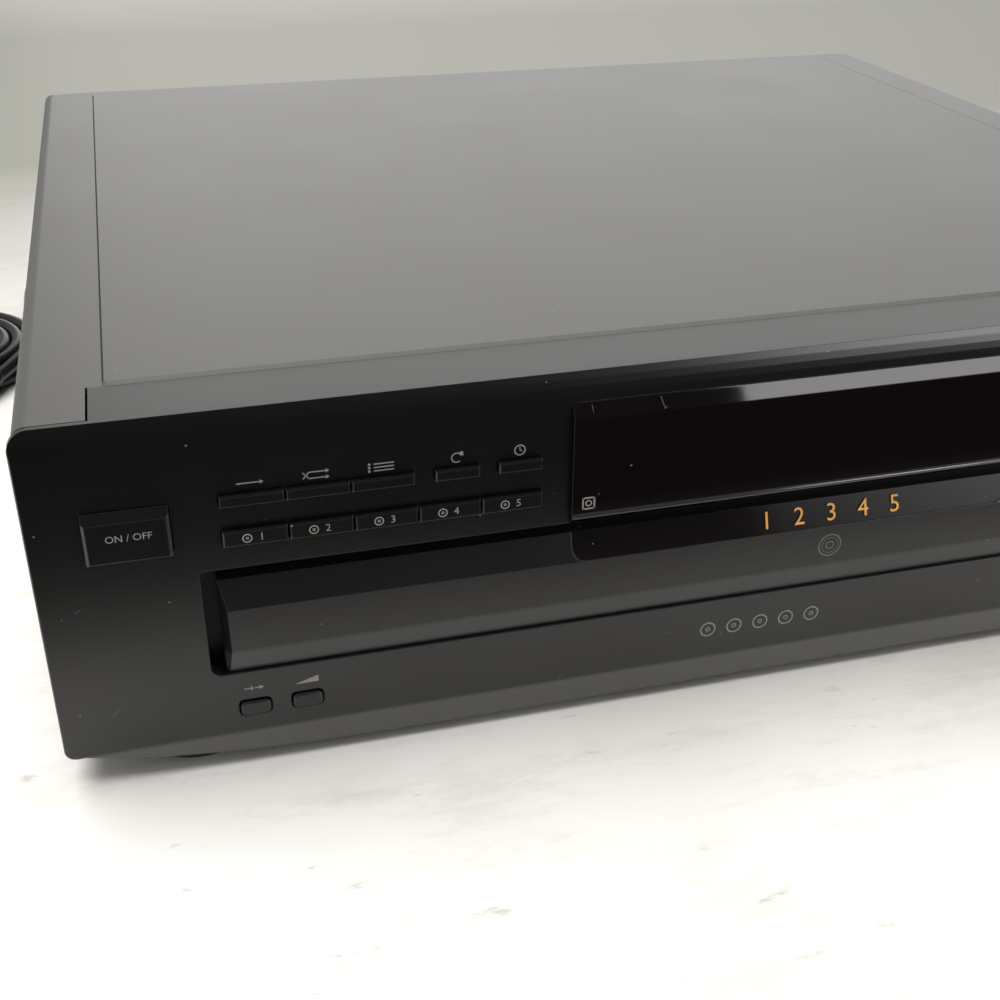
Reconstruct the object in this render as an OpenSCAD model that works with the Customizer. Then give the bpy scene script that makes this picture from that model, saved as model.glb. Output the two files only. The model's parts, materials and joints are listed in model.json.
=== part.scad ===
// Five-disc carousel CD changer: a full-width hi-fi component with a sliding tray.
// X runs to the right, Y to the back and Z up. The floor is Z = 0, and the case
// with its dial and jacks is centred on X = 0 and Y = 0.

/* [Case] */
// Width of the front panel
case_w = 430; // [400:1:480]
// Height of the front panel
case_h = 100; // [90:1:120]
// Room between the tray and the rear panel
rear_room = 33.7; // [32:0.1:60]
// Height of the case above the floor
foot_h = 10; // [9:1:14]
// Diameter of each foot
foot_d = 40; // [30:1:44]
// Thickness of the steel sheet
sheet_t = 1; // [0.8:0.1:1.2]
// Thickness of the front panel's wall
wall_t = 2.5; // [2:0.1:3]
// Radius of the panel's upper corners
corner_top_r = 5.5; // [3:0.5:8]
// Radius of the panel's lower corners
corner_low_r = 3; // [2:0.5:5]
// How far the chin bows down below the case in the middle
chin_drop = 6.5; // [4:0.5:8]
// How far the panel's top lip reaches back
lip_d = 23.5; // [20:0.5:28]
// Distance of the lip's ends from the panel's sides
lip_margin = 19.7; // [15:0.1:30]
// Height of the raised middle of the cover
cover_step = 0.5; // [0.3:0.1:1.5]
// Height over which the top of the face rolls back
roll_h = 8; // [4:0.5:12]
// How far the top of the face rolls back
roll_d = 1.5; // [0.5:0.1:2]

/* [Tray opening] */
// Gap at each end of the door in the opening
door_gap = 4.2; // [3.5:0.1:6]
// How far the door reaches past each side of the tray
door_lap = 1.7; // [1.2:0.1:4]
// Height of the opening
mouth_h = 34; // [33:0.5:35]
// Height of the opening above the bottom of the case
mouth_lift = 20.7; // [20:0.1:21]
// Depth of the recess that the door closes
mouth_d = 7.6; // [7:0.1:9]
// Height of the door
door_h = 28.8; // [28:0.1:30]

/* [Display] */
// Width of the display window
window_w = 143; // [130:1:150]
// Distance of the window's top edge from the panel's top
window_down = 8.4; // [8:0.1:12]
// How far the window stands proud of the face
window_proud = 2; // [1:0.1:3]

/* [Keys] */
// How far a key moves when it is pressed
key_travel = 1; // [0.6:0.1:1]
// How far a key stands proud of the face
key_proud = 1.8; // [1.4:0.1:2.5]
// Gap between neighbouring keys
key_gap = 0.4; // [0.3:0.05:0.6]
// Height of the keys in the upper row
mode_h = 3.2; // [3:0.1:4]
// Height of the keys in the lower row
disc_key_h = 4.65; // [4:0.05:5]
// Distance of the rows' outer ends from the panel's sides
row_margin = 48.3; // [47:0.1:60]
// Distance of the rows' inner ends from the window
row_gap = 8.2; // [7:0.1:12]
// Width of the repeat and time keys
pair_w = 12.2; // [10:0.1:13]
// Width of the play key
play_w = 26; // [20:0.5:30]
// Width of the power button
power_w = 21.7; // [18:0.1:22]
// Height of the power button
power_h = 13.9; // [12:0.1:15]
// Width of the scan and fader keys
scan_w = 8.2; // [7:0.1:8.6]
// Height of the scan and fader keys
scan_h = 4.4; // [4:0.1:5]
// Diameter of the jog dial
dial_d = 27; // [24:0.5:30]
// How far the dial stands out
dial_proud = 10; // [8:0.5:12]
// Diameter of the phones level knob
knob_d = 11; // [9:0.5:12]

/* [Carousel] */
// Number of disc wells
wells = 5; // [3:1:5]
// Diameter of a disc
disc_d = 120; // [118:0.1:121]
// Play round a disc in its well
disc_play = 0.4; // [0.3:0.1:0.6]
// How far each well runs out over the rim of the carousel
well_open = 2.6; // [2:0.1:4]
// Gap between the carousel and its recess in the tray
carousel_gap = 3.5; // [3:0.1:5]
// Height of the rim above the floor of a well
rim_h = 4; // [3:0.1:4]
// Thickness of the floor of a well
well_floor = 2; // [1.8:0.1:2.2]
// Module of the carousel's gear
table_module = 2; // [2:0.01:2.01]
// Distance of the gear's pitch circle from the carousel's rim
gear_margin = 3; // [2:0.5:6]
// Teeth of the motor pinion that turns the carousel
pinion_teeth = 14; // [14:1:16]

/* [Tray] */
// How far the tray slides out
tray_travel = 200; // [150:1:200]
// Distance of the tray's sides from the panel's sides
tray_margin = 47.5; // [46:0.5:55]
// Thickness of the tray's floor
tray_floor = 1.8; // [1.5:0.1:2]
// Thickness of the tray beside its round recess
tray_side = 3; // [2:0.5:6]
// Depth of the tray's deck in front of the recess
deck_front = 8; // [6:0.5:12]
// Depth of the tray's deck behind the recess
deck_back = 4; // [3:0.5:8]
// Module of the rack under the tray
rack_module = 1.5; // [1.4:0.05:1.5]
// Teeth of the gear that drives the rack
drive_teeth = 16; // [16:1:17]

/* [Pickup] */
// How far the platter is tilted down while the tray moves, in degrees
deck_tilt = 10; // [9:0.5:10]
// Distance from the platter back to the deck's hinge
hinge_arm = 88.8; // [86:0.1:89]
// Radius of the disc platter
platter_r = 14; // [12:0.5:15]
// Nearest lens position, from the middle of the platter
lens_in = 24; // [24:0.5:26]
// How far the laser sled travels
sled_travel = 34; // [30:0.5:34]
// Radius of a guide rod
rod_r = 1.5; // [1.2:0.1:1.6]

/* [Fits] */
// Gap between sliding pieces
slide_gap = 0.3; // [0.2:0.05:0.4]
// Radial clearance of a shaft in its bore
run_fit = 0.05; // [0.03:0.01:0.08]
// Play between the flanks of two gear teeth
backlash = 0.3; // [0.2:0.05:0.4]

/* [Rear] */
// How far the jacks stand out of the rear panel
jack_proud = 8; // [6:0.5:10]
// Outer radius of an audio jack's shell
jack_r = 4.15; // [4:0.05:4.3]
// Diameter of the mains cord
cord_d = 6; // [5:0.1:7]

/* [Hidden] */
$fn = 48;

KEY_NODES = [
    "power_button", "shuffle_key", "program_key", "clear_key", "repeat_key", "time_key",
    "disc_key_1", "disc_key_2", "disc_key_3", "disc_key_4", "disc_key_5",
    "disc_skip_key", "exchange_key", "open_close_key", "play_key", "pause_key", "stop_key",
    "scan_key", "fader_key"
];

// Widths from the panel inwards: the tray, its recess, the carousel and the gear
tray_w = case_w - 2 * tray_margin;
door_w = tray_w + 2 * door_lap;
mouth_w = door_w + 2 * door_gap;
recess_r = tray_w / 2 - tray_side;
carousel_r = recess_r - carousel_gap;
well_r = disc_d / 2 + disc_play;
well_circle = carousel_r + well_open - well_r;
ring_teeth = floor(2 * (carousel_r - gear_margin) / table_module);
tray_l = deck_front + 2 * recess_r + deck_back;
case_d = mouth_d - slide_gap + tray_l + rear_room;

// Levels of the case
base_z = foot_h;
top_z = base_z + case_h;
pan_z = base_z + sheet_t;
face_y = -(case_d + jack_proud - dial_proud) / 2;
rear_y = face_y + case_d;
inner_y = face_y + wall_t;
side_x = case_w / 2;
cover_x = side_x - 1;
pan_x = cover_x - sheet_t - 0.5;
seam_d = 3;
edge_round = 0.4;
lip_w = case_w - 2 * lip_margin;
lip_t = 2;
lip_seam = 0.05;
step_x = lip_w / 2 - 3.7;
side_screw_y = [face_y + 60, rear_y - 60];
side_screw_z = base_z + 14;
rear_screw_x = [-pan_x + 62.5, 0, pan_x - 62.5];
rear_screw_z = top_z - 5;
foot_x = side_x - 37;
foot_y = [inner_y + foot_d / 2 + slide_gap, rear_y - 30];

// The chin leans forward from a crease and bows down between the lower corners
chin_reach = side_x - corner_low_r + 0.5;
chin_top = base_z + 1.2;
chin_end = base_z + 1;
chin_power = 7;
chin_tilt = 10.6;

// Levels of the opening, the door and the tray
mouth_z = base_z + mouth_lift;
door_z = mouth_z + 0.5;
throat_w = tray_w + 1.6;
throat_z = mouth_z + 0.8;
throat_h = 27;
throat_t = 2;
rail_z = throat_z + 0.5;
runner_h = 4;
tray_z = rail_z + runner_h;
table_z = tray_z + tray_floor;
ring_z = table_z + 0.5;
ring_h = 4;
plate_z = ring_z + ring_h;
disc_z = plate_z + well_floor;
rim_z = disc_z + rim_h;
deck_t = 1.5;
tray_top = rim_z + 1.2;
tray_wall = 2;
tray_front = face_y + mouth_d - slide_gap;
table_y = tray_front + deck_front + recess_r;
tray_back = tray_front + tray_l;
facet_low = 7.3;
facet_drop = 1.5;
facet_high = 20.4;
trim_w = 140;
trim_h = 12;

// Gears
ring_pitch_r = ring_teeth * table_module / 2;
pinion_pitch_r = pinion_teeth * table_module / 2;
pinion_dir = 227;
pinion_dist = ring_pitch_r + pinion_pitch_r;
pinion_at = [pinion_dist * cos(pinion_dir), table_y + pinion_dist * sin(pinion_dir)];
motor_r = pinion_dist - carousel_r - 0.5;
ring_inner = ring_pitch_r - 11;
pressure = 20;
tooth_tip = 0.8;
tooth_root = 1.05;
drive_r = drive_teeth * rack_module / 2;
rack_x = -tray_w / 2 + 17;
drive_at = [rack_x + drive_r, face_y + 80];
rack_pitch = PI * rack_module;
spindle_r = 8;

// Loading drive: a belt from the motor's pulley to the pulley under the gear
belt_span = 46;
motor_at = [drive_at[0] + belt_span, drive_at[1]];
pulley_r = 15.5;
small_pulley_r = 4;
belt_t = 1;
belt_h = 1.4;
deck_top = throat_z - 3.5;
drive_pin_r = 2;

// Pickup, drawn level as when it plays and then tilted down about its hinge
pick_y = table_y + well_circle;
hinge_y = pick_y + hinge_arm;
hinge_z = tray_z - 0.5;
seat_z = disc_z + 3.7;
cone_h = 3;
pick_t = 2;
pick_z = plate_z - 0.8 - pick_t;
pick_x = [-40, 76];
arm_x = [[-40, -32], [68.5, 76]];
arm_z = [hinge_z - 2.2, hinge_z + 2.1];
motor_h = 8;
rod_z = pick_z - 3.1;
rod_gap = 15.5;
turret = 6.5;

// Bridge over the pickup
rail_top = tray_top + 0.3;
bridge_z = rail_top + 2.7;
bridge_t = 1.5;
bridge_w = 28;
rail_x = tray_w / 2 + 0.5;
rail_t = 3;
bracket_y = [for (i = [0 : 3]) face_y + 70 + 80 * i];

// Display window
window_z = mouth_z + mouth_h - 0.1;
window_h = top_z - window_down - window_z;
window_round = 2;
window_slope = [2, 4.5];

// Boards
board_y = inner_y + 7.5;
board_t = 1.6;
board_low = mouth_z + mouth_h + 3;
board_high = top_z - 5.5;
board_bosses = [
    [-pan_x + 8, board_low + 4], [-pan_x + 8, board_high - 4], [-window_w / 2 - 4, board_high - 3],
    [window_w / 2 + 4, board_high - 3], [pan_x - 8, board_low + 4], [pan_x - 8, board_high - 4]
];
main_z = bridge_z + bridge_t + 8;
main_x = [20, pan_x - 8];

// The transformer stands in the lane between the mechanism and the case's side
lane = [rail_x + rail_t, pan_x];
coil_half = (lane[1] - lane[0]) / 2 - 2.75;
core_half = coil_half - 5;
transformer_at = [-(lane[0] + lane[1]) / 2, (bracket_y[2] + bracket_y[3]) / 2 + 1];

// Jacks in the rear panel
jack_at = [pan_x - 36.5, pan_x - 52.5];
optical_x = pan_x - 92.5;
rear_jack_z = main_z + 13;

// Rows of keys: the left one ends by the window, the right one starts there
upper_z = base_z + 73.6;
lower_z = base_z + 61.9;
row_x = side_x - row_margin;
row_end = window_w / 2 + row_gap;
row_l = row_x - row_end;
disc_pitch = row_l / wells;
pair_gap = 5.5;
mode_pitch = (row_l - 2 * (pair_w + pair_gap)) / 3;
time_x = row_end + pair_w / 2 + 0.3;
repeat_x = time_x + pair_w + pair_gap - 0.2;
right_x = row_end - 0.1;
pause_x = right_x + play_w + 0.7 * disc_pitch;
stem_l = 2;
key_bevel = 0.4;
function mode_key(i) = -row_x + (i + 0.5) * mode_pitch;
function disc_key(i) = -row_x + (i + 0.5) * disc_pitch;
function skip_key(i) = right_x + (i + 0.5) * mode_pitch;

// Name, middle X, lower Z, width, height
mode_w = mode_pitch - key_gap;
disc_w = disc_pitch - key_gap;
KEYS = [
    ["shuffle_key", mode_key(0), upper_z, mode_w, mode_h],
    ["program_key", mode_key(1), upper_z, mode_w, mode_h],
    ["clear_key", mode_key(2), upper_z, mode_w, mode_h],
    ["repeat_key", -repeat_x, upper_z, pair_w, mode_h],
    ["time_key", -time_x, upper_z, pair_w, mode_h],
    ["disc_key_1", disc_key(0), lower_z, disc_w, disc_key_h],
    ["disc_key_2", disc_key(1), lower_z, disc_w, disc_key_h],
    ["disc_key_3", disc_key(2), lower_z, disc_w, disc_key_h],
    ["disc_key_4", disc_key(3), lower_z, disc_w, disc_key_h],
    ["disc_key_5", disc_key(4), lower_z, disc_w, disc_key_h],
    ["disc_skip_key", skip_key(0), upper_z, mode_w, mode_h],
    ["exchange_key", skip_key(1), upper_z, mode_w, mode_h],
    ["open_close_key", skip_key(2.7), upper_z, mode_w, mode_h],
    ["play_key", right_x + play_w / 2, lower_z, play_w - key_gap, disc_key_h],
    ["pause_key", pause_x, lower_z, disc_w, disc_key_h],
    ["stop_key", pause_x + disc_pitch, lower_z, disc_w, disc_key_h]
];
power_x = -side_x + 25;
power_z = base_z + 62.1;
power_proud = 3;
SCAN_KEYS = [["scan_key", -side_x + 52.6], ["fader_key", -side_x + 67.2]];
scan_z = base_z + 8.8;
scan_rim = 0.6;
flange_t = 1;
flange_lap = 1.2;
dial_x = side_x - 29;
dial_z = base_z + 72;
knob_x = side_x - 12;
jack_x = side_x - 28;
jack_depth = 28;
socket_r = 3.2;
low_z = base_z + 10;

// Mains cord: the route's points lie on the floor from the rear panel to the coil
bushing_x = -185;
bushing_z = base_z + 30;
bushing_l = 30;
cord_r = cord_d / 2;
coil_at = [-279, 133];
coil_r = 39;
coil_turns_w = 3;
coil_turns_h = 2;
coil_pack = coil_turns_w * cord_r;
coil_low = 0.2;
cord_rest_z = cord_r + 0.1;
// Stations of the lead and of the plug's end of the cord: point, tangent in, tangent out
LEAD = [
    [[bushing_x, rear_y + bushing_l, bushing_z], [0, 0, 0], [0, 122.7, 0]],
    [[-231.5, 241, cord_rest_z], [-56.4, -80.8, 0], [-9, -12.9, 0]],
    [[-238, 216.6, cord_rest_z], [0, -38.6, 0], [0, -66, 0]],
    [[-235.4, 154.5, cord_rest_z], [3, -50, 0], [0, 0, 0]]
];
plug_at = [-279, 69];
TAIL = [
    [[-239.3, 107.7, 8.8], [0, 0, 0], [-22, -50, -5]],
    [[plug_at[0], plug_at[1], cord_rest_z + 0.3], [-55, 0, 0], [0, 0, 0]]
];
lead_steps = 8;

// ---------- helpers ----------

module slab(x, y, z)
    translate([x[0], y[0], z[0]]) cube([x[1] - x[0], y[1] - y[0], z[1] - z[0]]);

module both() {
    children();
    mirror([1, 0, 0]) children();
}

// An outline drawn in X and Z, extruded along Y
module along_y(y) translate([0, y[1], 0]) rotate([90, 0, 0]) linear_extrude(y[1] - y[0]) children();

// An outline drawn in Y and Z, extruded along X
module along_x(x) translate([x[0], 0, 0]) rotate([90, 0, 90]) linear_extrude(x[1] - x[0]) children();

// A round bar along Y
module rod_y(at, r, y) translate([at[0], y[1], at[1]]) rotate([90, 0, 0]) cylinder(r = r, h = y[1] - y[0]);

// A round bar along X
module rod_x(at, r, x) translate([x[0], at[0], at[1]]) rotate([0, 90, 0]) cylinder(r = r, h = x[1] - x[0]);

// A rectangle with its lower left corner at the origin and a radius for each pair of corners
module round_rect(w, h, low_r, top_r) {
    translate([low_r, 0]) square([w - 2 * low_r, h / 2]);
    translate([top_r, h / 2]) square([w - 2 * top_r, h / 2]);
    translate([0, low_r]) square([w, h - low_r - top_r]);
    for (x = [low_r, w - low_r]) translate([x, low_r]) circle(low_r);
    for (x = [top_r, w - top_r]) translate([x, h - top_r]) circle(top_r);
}

// A rectangle round the origin with corners that follow its height
module soft_rect(w, h) translate([-w / 2, -h / 2]) round_rect(w, h, 0.3 * h, 0.3 * h);

// The outline of a belt round two pulleys whose middles are d apart
module belt_outline(r1, r2, d) {
    steps = 20;
    a = acos((r1 - r2) / d);
    polygon(concat(
        [for (i = [0 : steps]) let (t = a + (360 - 2 * a) * i / steps) r1 * [cos(t), sin(t)]],
        [for (i = [0 : steps]) let (t = -a + 2 * a * i / steps) [d, 0] + r2 * [cos(t), sin(t)]]
    ));
}

// Angle by which an involute has turned at radius r
function involute(base_r, r) = let (a = acos(min(1, base_r / r))) tan(a) * 180 / PI - a;

// A spur gear's outline; steps is the number of straight pieces in each flank
module gear_outline(teeth, m, steps) {
    pitch_r = teeth * m / 2;
    base_r = pitch_r * cos(pressure);
    tip_r = pitch_r + tooth_tip * m;
    root_r = pitch_r - tooth_root * m;
    low_r = max(base_r, root_r);
    half = 90 / teeth - backlash / 4 / pitch_r * 180 / PI + involute(base_r, pitch_r);
    flank = concat([root_r], [for (i = [0 : steps]) low_r + (tip_r - low_r) * i / steps]);
    radii = low_r > root_r ? flank : [for (i = [1 : len(flank) - 1]) flank[i]];
    last = len(radii) - 1;
    polygon([for (t = [0 : teeth - 1]) each concat(
        [for (r = radii) let (a = t * 360 / teeth - half + involute(base_r, r)) [r * cos(a), r * sin(a)]],
        [for (i = [last : -1 : 0]) let (r = radii[i], a = t * 360 / teeth + half - involute(base_r, r))
            [r * cos(a), r * sin(a)]]
    )]);
}

// Turn of a pinion at angle dir from a gear, so that its gap meets the gear's tooth
function mesh_turn(dir, gear_n, pinion_n) = dir + 180 - 180 / pinion_n + dir * gear_n / pinion_n;

// A tube swept along a list of points
function unit(v) = v / norm(v);
function heading(p, i) = unit(p[min(i + 1, len(p) - 1)] - p[max(i - 1, 0)]);
function tube_ring(p, i, r, n) = let (
    t = heading(p, i),
    s = unit(cross(t, abs(t[2]) > 0.9 ? [1, 0, 0] : [0, 0, 1])),
    u = cross(s, t)
) [for (k = [0 : n - 1]) p[i] + r * (cos(k * 360 / n) * s + sin(k * 360 / n) * u)];

// Points of a smooth curve through stations, each with the tangents on its two sides
function between(a, b, t) = (2 * t ^ 3 - 3 * t ^ 2 + 1) * a[0] + (t ^ 3 - 2 * t ^ 2 + t) * a[2]
    + (3 * t ^ 2 - 2 * t ^ 3) * b[0] + (t ^ 3 - t ^ 2) * b[1];
function curve(stations, steps) = concat(
    [for (i = [0 : len(stations) - 2], k = [0 : steps - 1]) between(stations[i], stations[i + 1], k / steps)],
    [stations[len(stations) - 1][0]]
);

module swept_tube(p, r, n) {
    rings = len(p);
    points = [for (i = [0 : rings - 1]) each tube_ring(p, i, r, n)];
    sides = [for (i = [0 : rings - 2], k = [0 : n - 1])
        [i * n + k, i * n + (k + 1) % n, (i + 1) * n + (k + 1) % n, (i + 1) * n + k]];
    first = [for (k = [n - 1 : -1 : 0]) k];
    last = [for (k = [0 : n - 1]) (rings - 1) * n + k];
    polyhedron(points, concat(sides, [first, last]), convexity = 6);
}

// ---------- front panel ----------

function chin_z(x) = chin_end - (chin_drop + chin_end - base_z) * (1 - pow(abs(x) / chin_reach, chin_power));

module face_outline(inset) translate([-side_x + inset, base_z + inset])
    round_rect(case_w - 2 * inset, case_h - 2 * inset, corner_low_r - inset / 2, corner_top_r - inset / 2);

module chin() {
    steps = 20;
    translate([0, face_y, chin_top]) rotate([-chin_tilt, 0, 0]) translate([0, 0, -chin_top])
        along_y([0, wall_t]) polygon(concat(
            [[chin_reach, chin_top], [-chin_reach, chin_top]],
            [for (i = [0 : steps]) let (x = chin_reach * (2 * i / steps - 1)) [x, chin_z(x)]]
        ));
}

// What the top of the face loses where it rolls back
module face_roll() {
    steps = 4;
    along_x([-side_x - 1, side_x + 1]) polygon(concat(
        [[face_y + roll_d, top_z + 1], [face_y - 1, top_z + 1], [face_y - 1, top_z - roll_h]],
        [for (i = [0 : steps]) let (t = i / steps) [face_y + roll_d * t * t, top_z - roll_h * (1 - t)]]
    ));
}

module key_hole(k) slab(
    [k[1] - k[3] / 2 - slide_gap, k[1] + k[3] / 2 + slide_gap],
    [face_y - 1, inner_y + 1],
    [k[2] - slide_gap, k[2] + k[4] + slide_gap]
);

module front_panel() color("#262626") difference() {
    union() {
        hull() {
            along_y([face_y, face_y + 0.1]) face_outline(edge_round);
            along_y([face_y + edge_round, face_y + wall_t]) face_outline(0);
        }
        along_y([inner_y, face_y + seam_d]) difference() {
            face_outline(0);
            face_outline(wall_t);
        }
        chin();
        // top lip, bottom flange and side tabs
        slab([-lip_w / 2, lip_w / 2], [inner_y, face_y + lip_d], [top_z - lip_t, top_z]);
        slab([-pan_x + 3, pan_x - 3], [inner_y, inner_y + 11.5], [base_z, base_z + lip_t]);
        both() slab([pan_x - 4, pan_x - 2], [inner_y, inner_y + 11.5], [base_z + 4, top_z - 5]);
        // box behind the tray opening
        slab([-mouth_w / 2 - 2, mouth_w / 2 + 2], [inner_y, face_y + mouth_d + throat_t],
            [mouth_z - 2, mouth_z + mouth_h + 2]);
        // bosses for the boards
        for (b = board_bosses) rod_y([b[0], b[1]], 3, [inner_y, board_y]);
        rod_y([(SCAN_KEYS[0][1] + SCAN_KEYS[1][1]) / 2, scan_z], 2, [inner_y, board_y]);
        rod_y([knob_x, low_z + 8], 2, [inner_y, board_y]);
        // rims round the scan and fader keys
        for (o = SCAN_KEYS) translate([o[1], 0, scan_z]) along_y([inner_y, inner_y + 1.2])
            soft_rect(scan_w + 4, scan_h + 4);
    }
    face_roll();
    // mouth and throat of the tray opening
    along_y([face_y - 2, face_y + mouth_d]) translate([-mouth_w / 2, mouth_z])
        round_rect(mouth_w, mouth_h, 3, 1.5);
    slab([-throat_w / 2, throat_w / 2], [face_y, face_y + mouth_d + 5], [throat_z, throat_z + throat_h]);
    // hole behind the display window
    slab([-window_w / 2 + 5.5, window_w / 2 - 5.5], [face_y - 1, inner_y + 1],
        [window_z + 4.5, window_z + window_h - 5]);
    for (k = KEYS) key_hole(k);
    key_hole(["power_button", power_x, power_z, power_w, power_h]);
    for (o = SCAN_KEYS) translate([o[1], 0, scan_z]) {
        along_y([face_y - 1, face_y + 1]) soft_rect(scan_w + 2 * scan_rim, scan_h + 2 * scan_rim);
        along_y([face_y - 1, inner_y + 2]) soft_rect(scan_w + 2 * slide_gap, scan_h + 2 * slide_gap);
    }
    rod_y([dial_x, dial_z], 5, [face_y - 1, inner_y + 1]);
    rod_y([dial_x, dial_z], dial_d / 2 + 1, [face_y - 1, face_y + 0.8]);
    rod_y([knob_x, low_z], 4, [face_y - 1, inner_y + 1]);
    rod_y([jack_x, low_z], 5 + slide_gap, [face_y - 1, inner_y + 1]);
}

module display_window() color("#0f0b0c") {
    front = face_y - window_proud;
    intersection() {
        along_x([-window_w / 2, window_w / 2]) polygon([
            [face_y, window_z], [front, window_z + window_slope[0]],
            [front, window_z + window_h - window_slope[1]], [face_y, window_z + window_h]
        ]);
        along_y([front - 1, face_y + 1]) translate([-window_w / 2, window_z])
            round_rect(window_w, window_h, 0.2, window_round);
    }
    slab([-window_w / 2 + 5.8, window_w / 2 - 5.8], [face_y, inner_y - 0.2],
        [window_z + 4.8, window_z + window_h - 5.3]);
}

module display_tube() color("#26302c") {
    half = window_w / 2 - 13.5;
    slab([-half, half], [inner_y + 0.6, inner_y + 6], [window_z + 7, window_z + window_h - 6]);
    slab([-half + 8, half - 8], [inner_y + 6, board_y], [window_z + 11, window_z + window_h - 10]);
    rod_x([inner_y + 3.3, window_z + window_h / 2 + 0.5], 1.6, [half, half + 5]);
}

// ---------- keys ----------

// A tact switch on the board behind a key
module tact_switch(x, z) {
    slab([x - 3, x + 3], [board_y - 2.6, board_y], [z - 3, z + 3]);
    rod_y([x, z], 1.5, [inner_y + slide_gap + flange_t + stem_l + key_travel + 0.2, board_y - 2.6]);
}
// Flange and stem behind the panel, for a cap of width w between two heights
module key_back(x, z, w) {
    slab([x - w / 2, x + w / 2], [inner_y + slide_gap, inner_y + slide_gap + flange_t],
        [z[0] - flange_lap, z[1] + flange_lap]);
    slab([x - 2, x + 2], [inner_y + slide_gap + flange_t, inner_y + slide_gap + flange_t + stem_l],
        [(z[0] + z[1]) / 2 - 1.2, (z[0] + z[1]) / 2 + 1.2]);
}

// A bar key with bevelled edges all round its cap
module bar_key(k) color("#1d1d1d") {
    half = k[3] / 2;
    front = face_y - key_proud;
    side = front + key_bevel;
    intersection() {
        along_x([k[1] - half, k[1] + half]) polygon([
            [inner_y + slide_gap, k[2]], [side, k[2]], [front, k[2] + key_bevel],
            [front, k[2] + k[4] - key_bevel], [side, k[2] + k[4]], [inner_y + slide_gap, k[2] + k[4]]
        ]);
        translate([k[1], 0, k[2] - 1]) linear_extrude(k[4] + 2) polygon([
            [-half, inner_y + 1], [-half, side], [-half + key_bevel, front],
            [half - key_bevel, front], [half, side], [half, inner_y + 1]
        ]);
    }
    key_back(k[1], [k[2], k[2] + k[4]], k[3]);
}

// The power button is a wedge: its top slopes back to the face
module power_button() color("#222222") {
    top = power_z + power_h;
    front = face_y - power_proud;
    intersection() {
        along_x([power_x - power_w / 2, power_x + power_w / 2]) polygon([
            [inner_y + slide_gap, power_z], [front + 0.6, power_z], [front, power_z + 0.6],
            [front, top - 2.2], [face_y - 0.2, top], [inner_y + slide_gap, top]
        ]);
        translate([power_x, 0, power_z - 1]) linear_extrude(power_h + 2) polygon([
            [-power_w / 2, inner_y + 1], [-power_w / 2, front + 0.8], [-power_w / 2 + 0.8, front],
            [power_w / 2 - 0.8, front], [power_w / 2, front + 0.8], [power_w / 2, inner_y + 1]
        ]);
    }
    key_back(power_x, [power_z, top], power_w);
}

module scan_key(o) color("#2b2b2b") {
    back = inner_y + 2.3;
    translate([o[1], 0, scan_z]) {
        along_y([face_y - 0.6, inner_y + 2]) soft_rect(scan_w, scan_h);
        along_y([face_y - 1, face_y - 0.6]) soft_rect(scan_w - 0.8, scan_h - 0.8);
        along_y([inner_y + 1.2 + slide_gap, back]) soft_rect(scan_w + 2, scan_h + 2);
    }
    slab([o[1] - 2, o[1] + 2], [back, inner_y + slide_gap + flange_t + stem_l], [scan_z - 1.2, scan_z + 1.2]);
}

module jog_dial() color("#303030") {
    rod_y([dial_x, dial_z], 3, [face_y - 1, board_y - 1]);
    translate([dial_x, face_y + 0.3, dial_z]) rotate([90, 0, 0]) difference() {
        rotate_extrude() polygon([
            [0, 0], [dial_d / 2, 0], [dial_d / 2, dial_proud - 1.2], [dial_d / 2 - 1.5, dial_proud + 0.3],
            [dial_d / 2 - 4, dial_proud + 0.3], [dial_d / 2 - 5, dial_proud - 0.5], [0, dial_proud - 0.5]
        ]);
        translate([dial_d / 2 - 8.5, 0, dial_proud - 1.3]) cylinder(r = 2.4, h = 3);
    }
}

module level_knob() color("#303030") difference() {
    union() {
        rod_y([knob_x, low_z], 2, [face_y - 1, board_y - 1]);
        translate([knob_x, face_y - 0.4, low_z]) rotate([90, 0, 0]) rotate_extrude() polygon([
            [0, 0], [knob_d / 2, 0], [knob_d / 2 - 0.4, 7], [knob_d / 2 - 1, 7.6], [0, 7.6]
        ]);
    }
    slab([knob_x - 0.4, knob_x + 0.4], [face_y - 9, face_y - 7.4], [low_z + 1, low_z + 7]);
}

module front_boards() color("#2f5d3a") {
    difference() {
        union() {
            slab([-pan_x + 4.6, pan_x - 4.6], [board_y, board_y + board_t], [board_low, board_high]);
            slab([SCAN_KEYS[0][1] - 9, SCAN_KEYS[1][1] + 9], [board_y, board_y + board_t],
                [base_z + 2.6, base_z + 18]);
            slab([knob_x - 6, pan_x - 4.6], [board_y, board_y + board_t], [base_z + 2.6, base_z + 21]);
            // encoder behind the dial, pot behind the knob
            rod_y([dial_x, dial_z], 6.5, [inner_y + 2, board_y]);
            rod_y([knob_x, low_z], 5, [inner_y + 1.5, board_y]);
        }
        rod_y([dial_x, dial_z], 3 + run_fit, [inner_y, board_y - 0.6]);
        rod_y([knob_x, low_z], 2 + run_fit, [inner_y, board_y - 0.6]);
    }
    for (k = KEYS) tact_switch(k[1], k[2] + k[4] / 2);
    tact_switch(power_x, power_z + power_h / 2);
    for (o = SCAN_KEYS) tact_switch(o[1], scan_z);
    // controller chip and flat-cable socket on the back of the upper board
    slab([-30, -14], [board_y + board_t, board_y + board_t + 2], [board_low + 10, board_low + 26]);
    slab([20, 52], [board_y + board_t, board_y + board_t + 5], [board_low + 4, board_low + 10]);
}

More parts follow.
